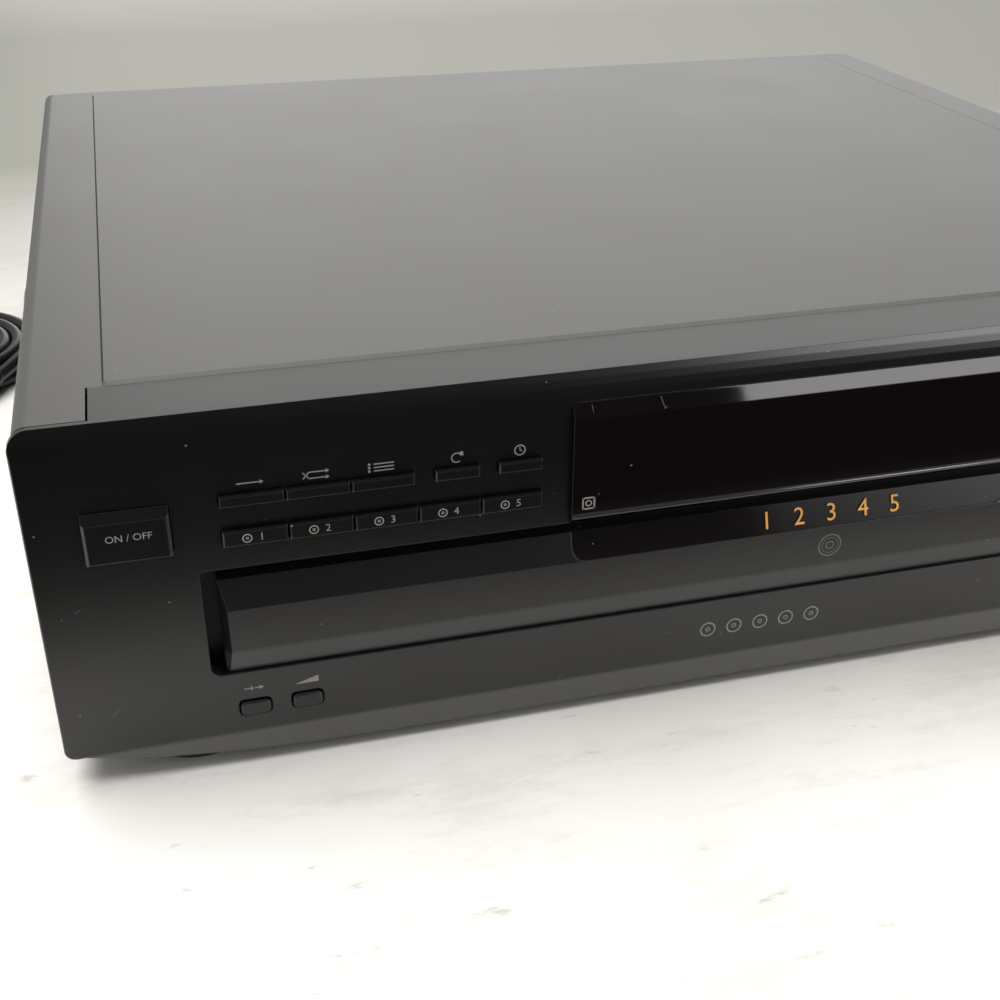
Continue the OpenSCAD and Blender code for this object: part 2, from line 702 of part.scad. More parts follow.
module phones_jack() color("#3a3a3a") difference() {
    union() {
        rod_y([jack_x, low_z], 6.2, [face_y - 1, face_y]);
        rod_y([jack_x, low_z], 5, [face_y, inner_y]);
        slab([jack_x - 7, jack_x + 7], [inner_y, inner_y + jack_depth], [low_z - 6.5, low_z + 6.5]);
    }
    rod_y([jack_x, low_z], socket_r, [face_y - 2, inner_y + jack_depth - 2]);
}

// ---------- case ----------

module cover_outline(inset) translate([-cover_x + inset, base_z - 5])
    round_rect(2 * (cover_x - inset), case_h + 5 - inset, 0.1, 4 - inset);

module top_cover() color("#8c8b87") {
    front = face_y + seam_d + 0.5;
    step_y = [face_y + lip_d + lip_seam, rear_y - 6];
    step_z = top_z + cover_step;
    difference() {
        union() {
            along_y([front, rear_y]) difference() {
                cover_outline(0);
                cover_outline(sheet_t);
                translate([-side_x, 0]) square([case_w, base_z + 0.8]);
            }
            hull() {
                slab([-step_x, step_x], step_y, [top_z - 0.5, top_z]);
                slab([-step_x + cover_step, step_x - cover_step], [step_y[0] + 2, step_y[1] - 2],
                    [top_z, step_z]);
            }
            // flange that laps over the rear panel
            slab([-cover_x + 8, cover_x - 8], [rear_y, rear_y + sheet_t], [top_z - 9, top_z]);
        }
        // hollow under the raised middle
        slab([-step_x + 2, step_x - 2], [step_y[0] + 2.5, step_y[1] - 2.5], [top_z - 2, step_z - sheet_t]);
        // notch for the panel's top lip
        slab([-lip_w / 2 - 0.6, lip_w / 2 + 0.6], [face_y, step_y[0]], [top_z - 3, top_z + 5]);
        for (y = side_screw_y) rod_x([y, side_screw_z], 2.2, [-side_x - 1, side_x + 1]);
        for (x = rear_screw_x) rod_y([x, rear_screw_z], 2.2, [rear_y - 1, rear_y + 2]);
    }
}

// A round-headed screw along +X from the face of its head
module side_screw(y) {
    rod_x([y, side_screw_z], 1.9, [pan_x - 5, cover_x]);
    translate([cover_x, y, side_screw_z]) rotate([0, 90, 0]) difference() {
        cylinder(r = 3.6, h = 1.3);
        for (a = [0, 90]) rotate(a) translate([-0.4, -2, 0.6]) cube([0.8, 4, 1]);
    }
}

module cover_screws() color("#55544f") {
    for (y = side_screw_y) both() side_screw(y);
    for (x = rear_screw_x) {
        rod_y([x, rear_screw_z], 1.9, [rear_y - 4, rear_y + sheet_t]);
        rod_y([x, rear_screw_z], 3.6, [rear_y + sheet_t, rear_y + sheet_t + 1.3]);
    }
}

module chassis() color("#a9aaa6") difference() {
    front = inner_y + 12;
    union() {
        slab([-pan_x, pan_x], [front, rear_y - sheet_t], [base_z, pan_z]);
        both() slab([pan_x - sheet_t, pan_x], [front, rear_y - sheet_t], [base_z, base_z + 22]);
        slab([-pan_x, pan_x], [front, front + sheet_t], [base_z, base_z + 16]);
        // pressed ribs across the pan
        for (y = [-60, -20, 20]) slab([-rail_x + 18, rail_x - 18], [y - 3, y + 3], [pan_z, pan_z + 1]);
    }
    for (y = side_screw_y) rod_x([y, side_screw_z], 2, [-side_x, side_x]);
    // notch for the phones jack
    slab([jack_x - 8, jack_x + 8], [front - 1, front + 2], [pan_z + 1, base_z + 17]);
    // cooling slots under the transformer
    for (i = [-4 : 3]) let (y = transformer_at[1] + 7 * i)
        slab([-pan_x + 6, -lane[0] - 7], [y, y + 3], [base_z - 1, pan_z + 1]);
    for (x = [-1, 1], y = foot_y) translate([x * foot_x, y, base_z - 1]) cylinder(r = 2, h = 4);
}

module foot() rotate_extrude() polygon([
    [2.1, 3], [5, 3], [5, 0.8], [foot_d / 2 - 6, 0.8], [foot_d / 2 - 5, 0], [foot_d / 2 - 2.5, 0],
    [foot_d / 2 - 1.2, 1], [foot_d / 2, foot_h - 1.5], [foot_d / 2, foot_h], [2.1, foot_h]
]);

module feet() color("#3a3a38") for (x = [-1, 1], y = foot_y) translate([x * foot_x, y, 0]) foot();

module rear_panel() color("#3b3b3d") difference() {
    union() {
        along_y([rear_y - sheet_t, rear_y]) translate([-pan_x, base_z])
            round_rect(2 * pan_x, case_h - sheet_t - 0.2, 0.1, 4);
        // bent tabs that carry the main board
        for (x = [main_x[0] + 30, main_x[0] + 90, main_x[1] - 14])
            slab([x - 5, x + 5], [rear_y - 14, rear_y - sheet_t], [main_z - sheet_t, main_z]);
    }
    for (x = jack_at) rod_y([x, rear_jack_z], 6, [rear_y - 5, rear_y + 1]);
    slab([optical_x - 5.5, optical_x + 5.5], [rear_y - 5, rear_y + 1],
        [rear_jack_z - 5.5, rear_jack_z + 5.5]);
    rod_y([bushing_x, bushing_z], 6, [rear_y - 5, rear_y + 1]);
    for (x = rear_screw_x) rod_y([x, rear_screw_z], 2, [rear_y - 5, rear_y + 1]);
}

module audio_jacks() color("#1f1f20") difference() {
    union() {
        slab([jack_at[1] - 8, jack_at[0] + 8], [rear_y - 14, rear_y - sheet_t],
            [main_z + board_t, rear_jack_z + 8]);
        for (x = jack_at) {
            rod_y([x, rear_jack_z], 5.6, [rear_y - sheet_t, rear_y + 1]);
            rod_y([x, rear_jack_z], jack_r, [rear_y + 1, rear_y + jack_proud]);
        }
    }
    for (x = jack_at) rod_y([x, rear_jack_z], 1.6, [rear_y - 8, rear_y + jack_proud + 1]);
}

module optical_jack() color("#1f1f20") difference() {
    x = [optical_x - 5, optical_x + 5];
    union() {
        slab(x, [rear_y - 13, rear_y - sheet_t], [main_z + board_t, rear_jack_z + 5]);
        slab(x, [rear_y - sheet_t, rear_y + 1.5], [rear_jack_z - 5, rear_jack_z + 5]);
    }
    slab([optical_x - 3, optical_x + 3], [rear_y - 6, rear_y + 3], [rear_jack_z - 3, rear_jack_z + 3]);
}

module main_board() color("#2f5d3a") {
    top = main_z + board_t;
    board_w = main_x[1] - main_x[0];
    sink_x = main_x[0] + 50;
    slab(main_x, [pick_y + 5, rear_y - sheet_t - 0.2], [main_z, top]);
    // processors and filter capacitors, by their distance from the board's left and rear edges
    for (p = [[40, 67, 14], [80, 42, 18], [125, 62, 10]]) let (x = main_x[0] + p[0], y = rear_y - p[1])
        slab([x - p[2] / 2, x + p[2] / 2], [y - p[2] / 2, y + p[2] / 2], [top, top + 2.4]);
    for (p = [[15, 27], [28, 27], [15, 42], [board_w - 20, 67], [board_w - 20, 52]])
        translate([main_x[0] + p[0], rear_y - p[1], top]) cylinder(r = 4, h = 11);
    // finned heat sink
    slab([sink_x, sink_x + 22], [rear_y - 24, rear_y - 22], [top, main_z + 22]);
    for (i = [0 : 3]) let (x = sink_x + 6.6 * i)
        slab([x, x + 2], [rear_y - 22, rear_y - 15], [top, main_z + 22]);
}

module power_transformer() color("#6b6a66") translate([transformer_at[0], transformer_at[1], pan_z]) {
    gap_z = [9, 31];
    slab([-core_half - 2, core_half + 2], [-30, 30], [0, 1.2]);
    difference() {
        slab([-core_half, core_half], [-22, 22], [1.2, 38]);
        for (y = [-14, 8]) slab([-core_half - 1, core_half + 1], [y, y + 6], gap_z);
    }
    // winding round the middle leg
    difference() {
        slab([-coil_half, coil_half], [-13.5, 13.5], [9.5, 30.5]);
        slab([-core_half, core_half], [-8, 8], gap_z);
        both() slab([core_half - 0.1, coil_half + 2], [-20, -13.4], gap_z);
    }
}

// ---------- mains cord ----------

module cord_bushing() color("#1c1c1c") translate([bushing_x, rear_y, bushing_z]) rotate([-90, 0, 0])
    difference() {
        rotate_extrude() polygon([
            [cord_r + 0.2, -3], [5.8, -3], [5.8, 0], [8, 0], [8, 2.5], [6, 4], [cord_r + 1, bushing_l],
            [cord_r + 0.2, bushing_l]
        ]);
        for (i = [0 : 3]) translate([-10, 1.6, 7 + i * 5.5]) cube([20, 8, 1.4]);
        for (i = [0 : 3]) translate([-10, -9.6, 7 + i * 5.5]) cube([20, 8, 1.4]);
    }

module mains_cord() color("#161616") {
    in_bushing = [for (y = [-2.5, 15]) [bushing_x, rear_y + y, bushing_z]];
    swept_tube(concat(in_bushing, curve(LEAD, lead_steps)), cord_r, 8);
    swept_tube(curve(TAIL, lead_steps), cord_r, 8);
}

module cord_coil() color("#161616") translate([coil_at[0], coil_at[1], coil_low]) rotate_extrude()
    translate([coil_r - coil_pack, 0])
        round_rect(coil_turns_w * cord_d, coil_turns_h * cord_d, cord_r - 0.1, cord_r - 0.1);

module mains_plug() color("#161616") translate([plug_at[0], plug_at[1], 0]) rotate(-90) {
    hull() {
        slab([-12, 12], [-26, -18], [0.5, 18]);
        slab([-6, 6], [-4, 1], [0.2, 9]);
    }
    for (x = [-6.4, 6.4]) slab([x - 0.8, x + 0.8], [-44, -26], [6, 12.4]);
}

// ---------- loading mechanism ----------

module mechanism_frame() color("#57585a") {
    front = inner_y + 14;
    back = tray_back + 7;
    lug_l = 5;
    difference() {
        union() {
            both() {
                slab([rail_x, rail_x + rail_t], [front, back], [pan_z, bridge_z]);
                slab([rail_x - 9.5, rail_x], [front, back], [rail_z - 4, rail_z - slide_gap]);
                slab([rail_x - 7.5, rail_x + 10], [front, back], [rail_top, bridge_z]);
                for (y = bracket_y) slab([rail_x, rail_x + 10], [y, y + 2], [pan_z, rail_top]);
            }
            // front deck for the loading drive, on a skirt
            slab([-rail_x, rail_x], [front, face_y + 112], [deck_top - 2, deck_top]);
            slab([-rail_x, rail_x], [front, front + 2], [pan_z, deck_top]);
            slab([-rail_x, rail_x], [face_y + 110, face_y + 112], [pan_z, deck_top]);
            // rear cross member
            slab([-rail_x, rail_x], [back - 2, hinge_y + 6], [pan_z, pan_z + 2]);
            slab([-rail_x, rail_x], [back - 2, back], [pan_z, pan_z + 12]);
        }
        translate([motor_at[0], motor_at[1], deck_top - 3]) cylinder(r = small_pulley_r + 1.4, h = 4);
        // windows that lighten the front deck
        for (x = [-40, 30, 100]) slab([x, x + 50], [front + 22, face_y + 96], [deck_top - 3, deck_top + 1]);
        for (x = [-1, 1], y = [pick_y - 8, pick_y + 8])
            translate([x * (rail_x + 6), y, bridge_z - 6]) cylinder(r = 1.2, h = 7);
    }
    translate([drive_at[0], drive_at[1], deck_top]) cylinder(r = drive_pin_r, h = tray_z - 0.5 - deck_top);
    translate([drive_at[0], drive_at[1], deck_top]) cylinder(r = 4, h = 0.3);
    // hinge lugs and pins of the pickup deck
    for (s = [
        [arm_x[0][0] - lug_l, arm_x[0][0] - slide_gap, 1], [arm_x[1][1] + slide_gap, arm_x[1][1] + lug_l, -1]
    ]) {
        slab([s[0], s[1]], [hinge_y - 5, hinge_y + 5], [pan_z, hinge_z + 4]);
        rod_x([hinge_y, hinge_z], rod_r, s[2] > 0 ? [s[1], s[1] + 9] : [s[0] - 9, s[0]]);
    }
    // posts under the front edge of the main board
    for (y = [back - 35, back - 5])
        translate([rail_x + 6, y, bridge_z]) cylinder(r = 3, h = main_z - bridge_z);
}

module clamp_bridge() color("#9c9d99") difference() {
    union() {
        slab([-rail_x - 10, rail_x + 10], [pick_y - bridge_w / 2, pick_y + bridge_w / 2],
            [bridge_z, bridge_z + bridge_t]);
        for (y = [-bridge_w / 2, bridge_w / 2 - 1.2]) slab([-rail_x, rail_x], [pick_y + y, pick_y + y + 1.2],
            [bridge_z, bridge_z + 5.5]);
        translate([30, pick_y + 9, bridge_z]) cylinder(r = 3, h = main_z - bridge_z);
        // screw heads that hold the bridge down
        for (x = [-1, 1], y = [-8, 8]) translate([x * (rail_x + 6), pick_y + y, bridge_z + bridge_t])
            cylinder(r = 2.6, h = 1.4);
    }
    translate([0, pick_y, bridge_z - 1]) cylinder(r = 10.5, h = 4);
    both() slab([40, rail_x - 38], [pick_y - 5, pick_y + 5], [bridge_z - 1, bridge_z + 3]);
}

module clamper() color("#d8d6cf") translate([0, pick_y, 0]) difference() {
    low = rim_z + 1;
    top = bridge_z + bridge_t + slide_gap;
    union() {
        translate([0, 0, low]) cylinder(r = platter_r + 1, h = 2.2);
        translate([0, 0, low]) cylinder(r = 9.5, h = top - low);
        translate([0, 0, top]) cylinder(r = bridge_w / 2 - 1.7, h = 1.5);
    }
    translate([0, 0, low - 1]) cylinder(r = 8.4, h = 4);
}

module loading_motor() color("#b7b8b4") translate([motor_at[0], motor_at[1], 0]) {
    translate([0, 0, pan_z + 1]) cylinder(r = 12, h = deck_top - 2 - pan_z - 1);
    translate([0, 0, deck_top - 2]) cylinder(r = 3, h = 1.6);
    translate([0, 0, deck_top - 0.4]) cylinder(r = 1, h = 3.4);
}

// A belt pulley: rim radius r, a flange on each side of the belt
module pulley(r) {
    cylinder(r = r + 1.3, h = 0.7);
    cylinder(r = r, h = belt_h + 1.6);
    translate([0, 0, belt_h + 1.0]) cylinder(r = r + 1.3, h = 0.7);
}

module motor_pulley() color("#cfcfc8") translate([motor_at[0], motor_at[1], deck_top + 0.4]) difference() {
    pulley(small_pulley_r);
    translate([0, 0, -1]) cylinder(r = 1 + run_fit, h = 8);
}

module loading_belt() color("#1a1a1a") translate([drive_at[0], drive_at[1], deck_top + 1.25])
    linear_extrude(belt_h - 0.3) difference() {
        belt_outline(pulley_r + belt_t + 0.1, small_pulley_r + belt_t + 0.1, belt_span);
        belt_outline(pulley_r + 0.1, small_pulley_r + 0.1, belt_span);
    }

module loading_gear() color("#e4e2da") translate([drive_at[0], drive_at[1], 0]) difference() {
    union() {
        translate([0, 0, deck_top + 0.4]) pulley(pulley_r);
        translate([0, 0, deck_top + 2]) cylinder(r = 6, h = rail_z + 0.3 - deck_top - 2);
        translate([0, 0, rail_z + 0.3]) linear_extrude(runner_h - 0.7)
            gear_outline(drive_teeth, rack_module, 4);
    }
    translate([0, 0, deck_top - 1]) cylinder(r = drive_pin_r + run_fit, h = 12);
}

// ---------- tray ----------

// The rack's outline in X and Y, its teeth towards +X
module rack_outline() {
    tip = tooth_tip * rack_module;
    root = tooth_root * rack_module;
    lean = tan(pressure);
    half = rack_pitch / 4 - backlash / 4;
    from = ceil((tray_front + 6 - drive_at[1]) / rack_pitch);
    upto = floor((tray_back - 40 - drive_at[1]) / rack_pitch);
    polygon(concat(
        [[rack_x - 7, drive_at[1] + (from - 0.5) * rack_pitch]],
        [for (i = [from : upto]) let (y = drive_at[1] + (i + 0.5) * rack_pitch) each [
            [rack_x - root, y - half - root * lean], [rack_x + tip, y - half + tip * lean],
            [rack_x + tip, y + half - tip * lean], [rack_x - root, y + half + root * lean]
        ]],
        [[rack_x - 7, drive_at[1] + (upto + 1.5) * rack_pitch]]
    ));
}

module tray_plan(inset) translate([-tray_w / 2 + inset, tray_front + inset])
    round_rect(tray_w - 2 * inset, tray_back - tray_front - 2 * inset, 0.5, 12);

module tray() color("#202020") {
    motor_pocket = pinion_pitch_r + table_module + 1;
    difference() {
        union() {
            difference() {
                translate([0, 0, tray_z]) linear_extrude(tray_top - tray_z) tray_plan(0);
                translate([0, table_y, table_z]) cylinder(r = recess_r, h = 30);
                // hollow corners, open from below
                difference() {
                    translate([0, 0, tray_z - 1]) linear_extrude(tray_top - deck_t - tray_z + 1)
                        tray_plan(tray_wall);
                    translate([0, table_y, tray_z - 2]) cylinder(r = recess_r + tray_wall, h = 30);
                    translate([pinion_at[0], pinion_at[1], tray_z - 2])
                        cylinder(r = motor_pocket + tray_wall, h = 30);
                }
            }
            both() slab([tray_w / 2 - 6.5, tray_w / 2], [tray_front, tray_back - 12], [rail_z, tray_z]);
            // boss that the carousel turns on
            translate([0, table_y, table_z]) cylinder(r = 14, h = 0.3);
            translate([0, table_y, table_z]) cylinder(r = spindle_r, h = rim_z - table_z);
        }
        // pocket for the pinion and its motor, open to the recess
        translate([pinion_at[0], pinion_at[1], table_z])
            cylinder(r = motor_pocket, h = tray_top - deck_t - table_z);
        // opening over the pickup
        slab([pick_x[0] - 3, pick_x[1] + 3], [pick_y - 44, tray_back + 1], [tray_z - 1, tray_top + 1]);
        // lightening holes in the floor
        for (a = [150, 210, 330]) rotate_about_table(a)
            translate([0.58 * recess_r, 0, tray_z - 1]) cylinder(r = 24, h = 5);
        translate([0, table_y, tray_z - 1]) cylinder(r = 3, h = 20);
    }
    translate([0, 0, rail_z]) linear_extrude(runner_h) rack_outline();
}

module rotate_about_table(a) translate([0, table_y, 0]) rotate(a) children();

module tray_door() color("#333434") {
    back = tray_front;
    front = face_y - 0.5;
    edge = face_y + 2.5;
    half = door_w / 2;
    difference() {
        intersection() {
            along_x([-half, half]) polygon([
                [back, door_z], [front + facet_drop, door_z], [front, door_z + facet_low],
                [front, door_z + facet_high], [edge, door_z + door_h], [back, door_z + door_h]
            ]);
            translate([0, 0, door_z - 1]) linear_extrude(door_h + 2) polygon([
                [-half, back + 1], [-half, edge], [-half + 2, front],
                [half - 2, front], [half, edge], [half, back + 1]
            ]);
        }
        on_top_facet() along_y([-1, 0.6]) trim_outline(0);
    }
}

// Local frame of the door's upper facet: X along it, Z up it and -Y out of it
module on_top_facet() translate([0, face_y - 0.5, door_z + facet_high])
    rotate([-atan2(3, door_h - facet_high), 0, 0]) children();

module trim_outline(inset) translate([-trim_w / 2 + inset, inset])
    round_rect(trim_w - 2 * inset, trim_h - 2 * inset, 4, 0.2);

module door_trim() color("#0d0d0e") intersection() {
    on_top_facet() along_y([0.1, 0.6]) trim_outline(0.15);
    slab([-trim_w, trim_w], [face_y - 5, face_y + 5], [door_z, door_z + door_h]);
}

// ---------- carousel ----------

module each_well() for (i = [0 : wells - 1]) rotate_about_table(90 + i * 360 / wells)
    translate([well_circle, 0, 0]) rotate(-90) children();

module carousel() color("#26272a") difference() {
    union() {
        translate([0, table_y, plate_z]) cylinder(r = carousel_r, h = rim_z - plate_z);
        translate([0, table_y, table_z + 0.6]) cylinder(r = 20, h = plate_z - table_z - 0.6);
    }
    // hollow underside between the wells
    difference() {
        translate([0, table_y, plate_z - 1]) cylinder(r = carousel_r - 2, h = rim_z - plate_z - 1);
        translate([0, table_y, plate_z - 2]) cylinder(r = 22, h = 12);
        each_well() translate([0, 0, plate_z - 2]) cylinder(r = well_r + 2, h = 12);
        // seat of the gear
        translate([0, table_y, plate_z - 2]) difference() {
            cylinder(r = ring_pitch_r - 5, h = 12);
            translate([0, 0, -1]) cylinder(r = ring_inner + 1, h = 14);
        }
    }
    each_well() {
        translate([0, 0, disc_z]) cylinder(r = well_r, h = 10);
        translate([0, 0, disc_z - 0.8]) cylinder(r = 40.4, h = 10);
        // slot for the platter and the laser
        translate([0, 0, plate_z - 1]) cylinder(r = platter_r + 3, h = 12);
        slab([0, lens_in + sled_travel + turret + 2], [-11, 11], [plate_z - 1, disc_z + 2.3]);
        // finger notch in the rim
        translate([0, carousel_r - well_circle, plate_z - 1]) cylinder(r = 15, h = 12);
    }
    translate([0, table_y, table_z]) cylinder(r = spindle_r + run_fit, h = 20);
}
module carousel_gear() color("#dcdad2") translate([0, table_y, ring_z]) difference() {
    linear_extrude(ring_h) gear_outline(ring_teeth, table_module, 1);
    translate([0, 0, -1]) cylinder(r = ring_inner, h = ring_h + 2);
}

module hub_cap() color("#2c2d30") translate([0, table_y, rim_z]) difference() {
    rotate_extrude() polygon([[0, 0], [19, 0], [19, 1], [16, 3], [6, 4], [0, 4]]);
    translate([0, 0, 3]) cylinder(r = 3, h = 3);
}

module table_motor() color("#b7b8b4") translate([pinion_at[0], pinion_at[1], 0]) {
    translate([0, 0, plate_z + 0.5]) cylinder(r = motor_r, h = tray_top - deck_t - plate_z - 0.5);
    translate([0, 0, table_z + 0.2]) cylinder(r = 1, h = plate_z + 0.5 - table_z - 0.2);
}
module table_pinion() color("#f0efe8") translate([pinion_at[0], pinion_at[1], ring_z]) difference() {
    rotate(mesh_turn(pinion_dir, ring_teeth, pinion_teeth))
        linear_extrude(ring_h) gear_outline(pinion_teeth, table_module, 4);
    translate([0, 0, -1]) cylinder(r = 1 + run_fit, h = ring_h + 2);
}

// ---------- pickup ----------

// Tilts a level pickup piece down to where it rests while the tray moves
module lowered() translate([0, hinge_y, hinge_z]) rotate([deck_tilt, 0, 0]) translate([0, -hinge_y, -hinge_z])
    children();

module pickup_deck() color("#4a4b4d") lowered() difference() {
    deck_y = [pick_y - 27, pick_y + 21];
    rib_z = [pick_z - 5, pick_z];
    union() {
        slab(pick_x, deck_y, [pick_z, pick_z + pick_t]);
        // ribs round the plate
        for (y = [deck_y[0], deck_y[1] - 2]) slab(pick_x, [y, y + 2], rib_z);
        for (x = [pick_x[0], pick_x[1] - 2]) slab([x, x + 2], deck_y, rib_z);
        // posts that hold the inner ends of the guide rods
        for (s = [-1, 1]) let (y = pick_y + s * rod_gap)
            slab([-6, 0], [y - 2.3, y + 2.3], [rod_z - 2, pick_z]);
        // arms back to the hinge
        for (a = arm_x) {
            slab(a, [deck_y[1] - 8, hinge_y], arm_z);
            slab(a, [deck_y[1] - 8, deck_y[1]], [arm_z[0], pick_z]);
            rod_x([hinge_y, hinge_z], 4, a);
        }
    }
    for (a = arm_x) rod_x([hinge_y, hinge_z], rod_r + run_fit, [a[0] - 1, a[1] + 1]);
    translate([0, pick_y, pick_z - 1]) cylinder(r = 4, h = 5);
    slab([lens_in - turret - 1, lens_in + sled_travel + turret + 1], [pick_y - 9.5, pick_y + 9.5],
        [pick_z - 1, pick_z + 3]);
    for (y = [-1, 1]) rod_x([pick_y + y * rod_gap, rod_z], rod_r, [-4, pick_x[1] + 1]);
}

module spindle_motor() color("#b7b8b4") lowered() translate([0, pick_y, pick_z - motor_h]) difference() {
    union() {
        cylinder(r = 12, h = motor_h);
        cylinder(r = 3.5, h = motor_h + pick_t);
    }
    translate([0, 0, 1.2]) cylinder(r = 1.2 + run_fit, h = motor_h + pick_t);
}

module platter() color("#3a3a3c") lowered() translate([0, pick_y, 0]) {
    translate([0, 0, pick_z - motor_h + 1.5]) cylinder(r = 1.2, h = seat_z - pick_z + motor_h - 2);
    translate([0, 0, pick_z + pick_t + 0.4]) cylinder(r = 5, h = 2.5);
    translate([0, 0, seat_z - 3]) difference() {
        cylinder(r = platter_r, h = 3);
        translate([0, 0, 2.4]) difference() {
            cylinder(r = platter_r - 2, h = 2);
            translate([0, 0, -1]) cylinder(r = 9, h = 4);
        }
    }
    translate([0, 0, seat_z]) rotate_extrude()
        polygon([[0, 0], [7.4, 0], [7.4, 1], [5.5, cone_h], [0, cone_h]]);
}

module guide_rods() color("#c9cac8") lowered() for (y = [-1, 1])
    rod_x([pick_y + y * rod_gap, rod_z], rod_r, [-4, pick_x[1]]);

module laser_sled() color("#6f7276") lowered() difference() {
    low = rod_z - 2.4;
    union() {
        slab([lens_in - 10, lens_in + 10], [pick_y - rod_gap - 2.5, pick_y + rod_gap + 2.5],
            [low, pick_z - 0.5]);
        slab([lens_in - turret, lens_in + turret], [pick_y - 8, pick_y + 8], [pick_z - 0.5, seat_z - 2.8]);
        // rack towards the sled motor
        slab([lens_in - 10, lens_in + 10], [pick_y - 3, pick_y + 3], [low - 1.2, low]);
    }
    for (y = [-1, 1]) rod_x([pick_y + y * rod_gap, rod_z], rod_r + run_fit, [lens_in - 11, lens_in + 11]);
    translate([lens_in, pick_y, seat_z - 3.8]) cylinder(r = 3.6, h = 2);
}

module objective_lens() color("#9fb4c8") lowered() translate([lens_in, pick_y, seat_z - 3.8]) {
    cylinder(r = 3.4, h = 1.2);
    translate([0, 0, 1.2]) intersection() {
        translate([0, 0, -3.4]) sphere(r = 4.4);
        cylinder(r = 2.8, h = 2);
    }
}

// ---------- nodes ----------

front_panel();
display_window();
display_tube();
front_boards();
phones_jack();
jog_dial();
level_knob();
top_cover();
cover_screws();
chassis();
feet();
rear_panel();
main_board();
power_transformer();
audio_jacks();
optical_jack();
cord_bushing();
mains_cord();
cord_coil();
mains_plug();
mechanism_frame();
clamp_bridge();
clamper();
loading_motor();
motor_pulley();
loading_belt();
loading_gear();
tray();
tray_door();
door_trim();
table_motor();
table_pinion();
carousel();
carousel_gear();
hub_cap();
pickup_deck();
spindle_motor();
platter();
guide_rods();
laser_sled();
objective_lens();
power_button();
for (k = KEYS) bar_key(k);
for (o = SCAN_KEYS) scan_key(o);
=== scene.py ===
# %% [markdown]
# # A five-disc CD changer, dressed in Blender
# The rigid parts come from a CAD model, already in place and in metres. This
# lesson adds what CAD leaves out: the mains cord, the printed signs, the
# finishes, the light and the camera. They could be made by hand in Blender, but
# written as numbers they can be changed and run again. X runs to the right, Y
# to the back, Z up.

# %% Load the CAD model
import json
import math

import bpy
import numpy as np
from mathutils import Matrix


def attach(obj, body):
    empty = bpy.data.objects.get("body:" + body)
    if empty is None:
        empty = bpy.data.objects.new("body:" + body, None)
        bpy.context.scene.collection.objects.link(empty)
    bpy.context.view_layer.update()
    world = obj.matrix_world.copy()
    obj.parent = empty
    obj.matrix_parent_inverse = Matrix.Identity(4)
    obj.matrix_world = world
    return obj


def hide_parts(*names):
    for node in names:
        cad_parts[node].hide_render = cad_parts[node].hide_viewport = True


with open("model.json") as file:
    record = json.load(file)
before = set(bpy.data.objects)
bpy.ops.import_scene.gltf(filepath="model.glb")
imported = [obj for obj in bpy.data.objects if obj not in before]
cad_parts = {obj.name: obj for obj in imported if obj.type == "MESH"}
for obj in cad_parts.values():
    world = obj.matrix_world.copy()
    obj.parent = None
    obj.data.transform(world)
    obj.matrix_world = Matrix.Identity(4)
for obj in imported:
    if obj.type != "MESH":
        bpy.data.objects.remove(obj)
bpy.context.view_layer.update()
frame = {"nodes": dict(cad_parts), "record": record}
nodes = frame["nodes"]
MM = 0.001

# %% [markdown]
# ## The camera
# The eye stands above the left front corner and looks down along the front
# panel. A camera can be aimed by hand or told to track a target. Three angles
# say more: yaw to the right, pitch down and a trace of roll. A camera looks
# along its own -Z, so its matrix takes the three axes as columns.


# %% Camera
def camera_axes(yaw, pitch, roll):
    """Right, up and back of a camera: the level right and up, turned by roll round the line of sight."""
    ahead = np.array([math.sin(yaw) * math.cos(pitch), math.cos(yaw) * math.cos(pitch), -math.sin(pitch)])
    level = np.array([math.cos(yaw), -math.sin(yaw), 0.0])
    above = np.cross(level, ahead)
    right = math.cos(roll) * level + math.sin(roll) * above
    up = math.cos(roll) * above - math.sin(roll) * level
    return right, up, -ahead


eye = np.array([-176.54, -498.48, 251.62]) * MM
camera_place = np.eye(4)
camera_place[:3, :3] = np.column_stack(camera_axes(yaw=0.2687, pitch=0.5048, roll=0.0038))
camera_place[:3, 3] = eye
camera = bpy.data.objects.new("camera", bpy.data.cameras.new("camera"))
camera.data.lens = 48.23
camera.data.sensor_width = 36.0
camera.data.clip_start = 0.01
camera.matrix_world = Matrix(camera_place.tolist())
bpy.context.scene.collection.objects.link(camera)
bpy.context.scene.camera = camera
print("camera at", eye)

# %% [markdown]
# ## Meshes from arrays
# Every new piece is a grid of points worked out at once with numpy, or a flat
# sign cut out of such points. Blender's own tools would need a step for each
# edge. Here one helper joins a grid's neighbours into faces, one closes the
# ends of a tube, and one hands points and faces to Blender.


# %% Grid faces and a mesh piece
def grid_faces(rows, columns, closed_columns=True, closed_rows=False):
    """Quads of a grid: each joins a point, the two below it in the next row and its neighbour. A closed
    direction wraps round, so its last row or column joins the first."""
    lines = rows if closed_rows else rows - 1
    last = columns if closed_columns else columns - 1
    i, k = np.meshgrid(np.arange(lines), np.arange(last), indexing="ij")
    step, after = (k + 1) % columns, (i + 1) % rows
    quads = np.stack([i * columns + k, after * columns + k, after * columns + step, i * columns + step], -1)
    return quads.reshape(-1, 4)


def capped(rows, sides):
    """Faces of a tube of rings, with the first and the last ring closed by one face each."""
    first = np.arange(sides)
    return [*grid_faces(rows, sides), first, first[::-1] + (rows - 1) * sides]


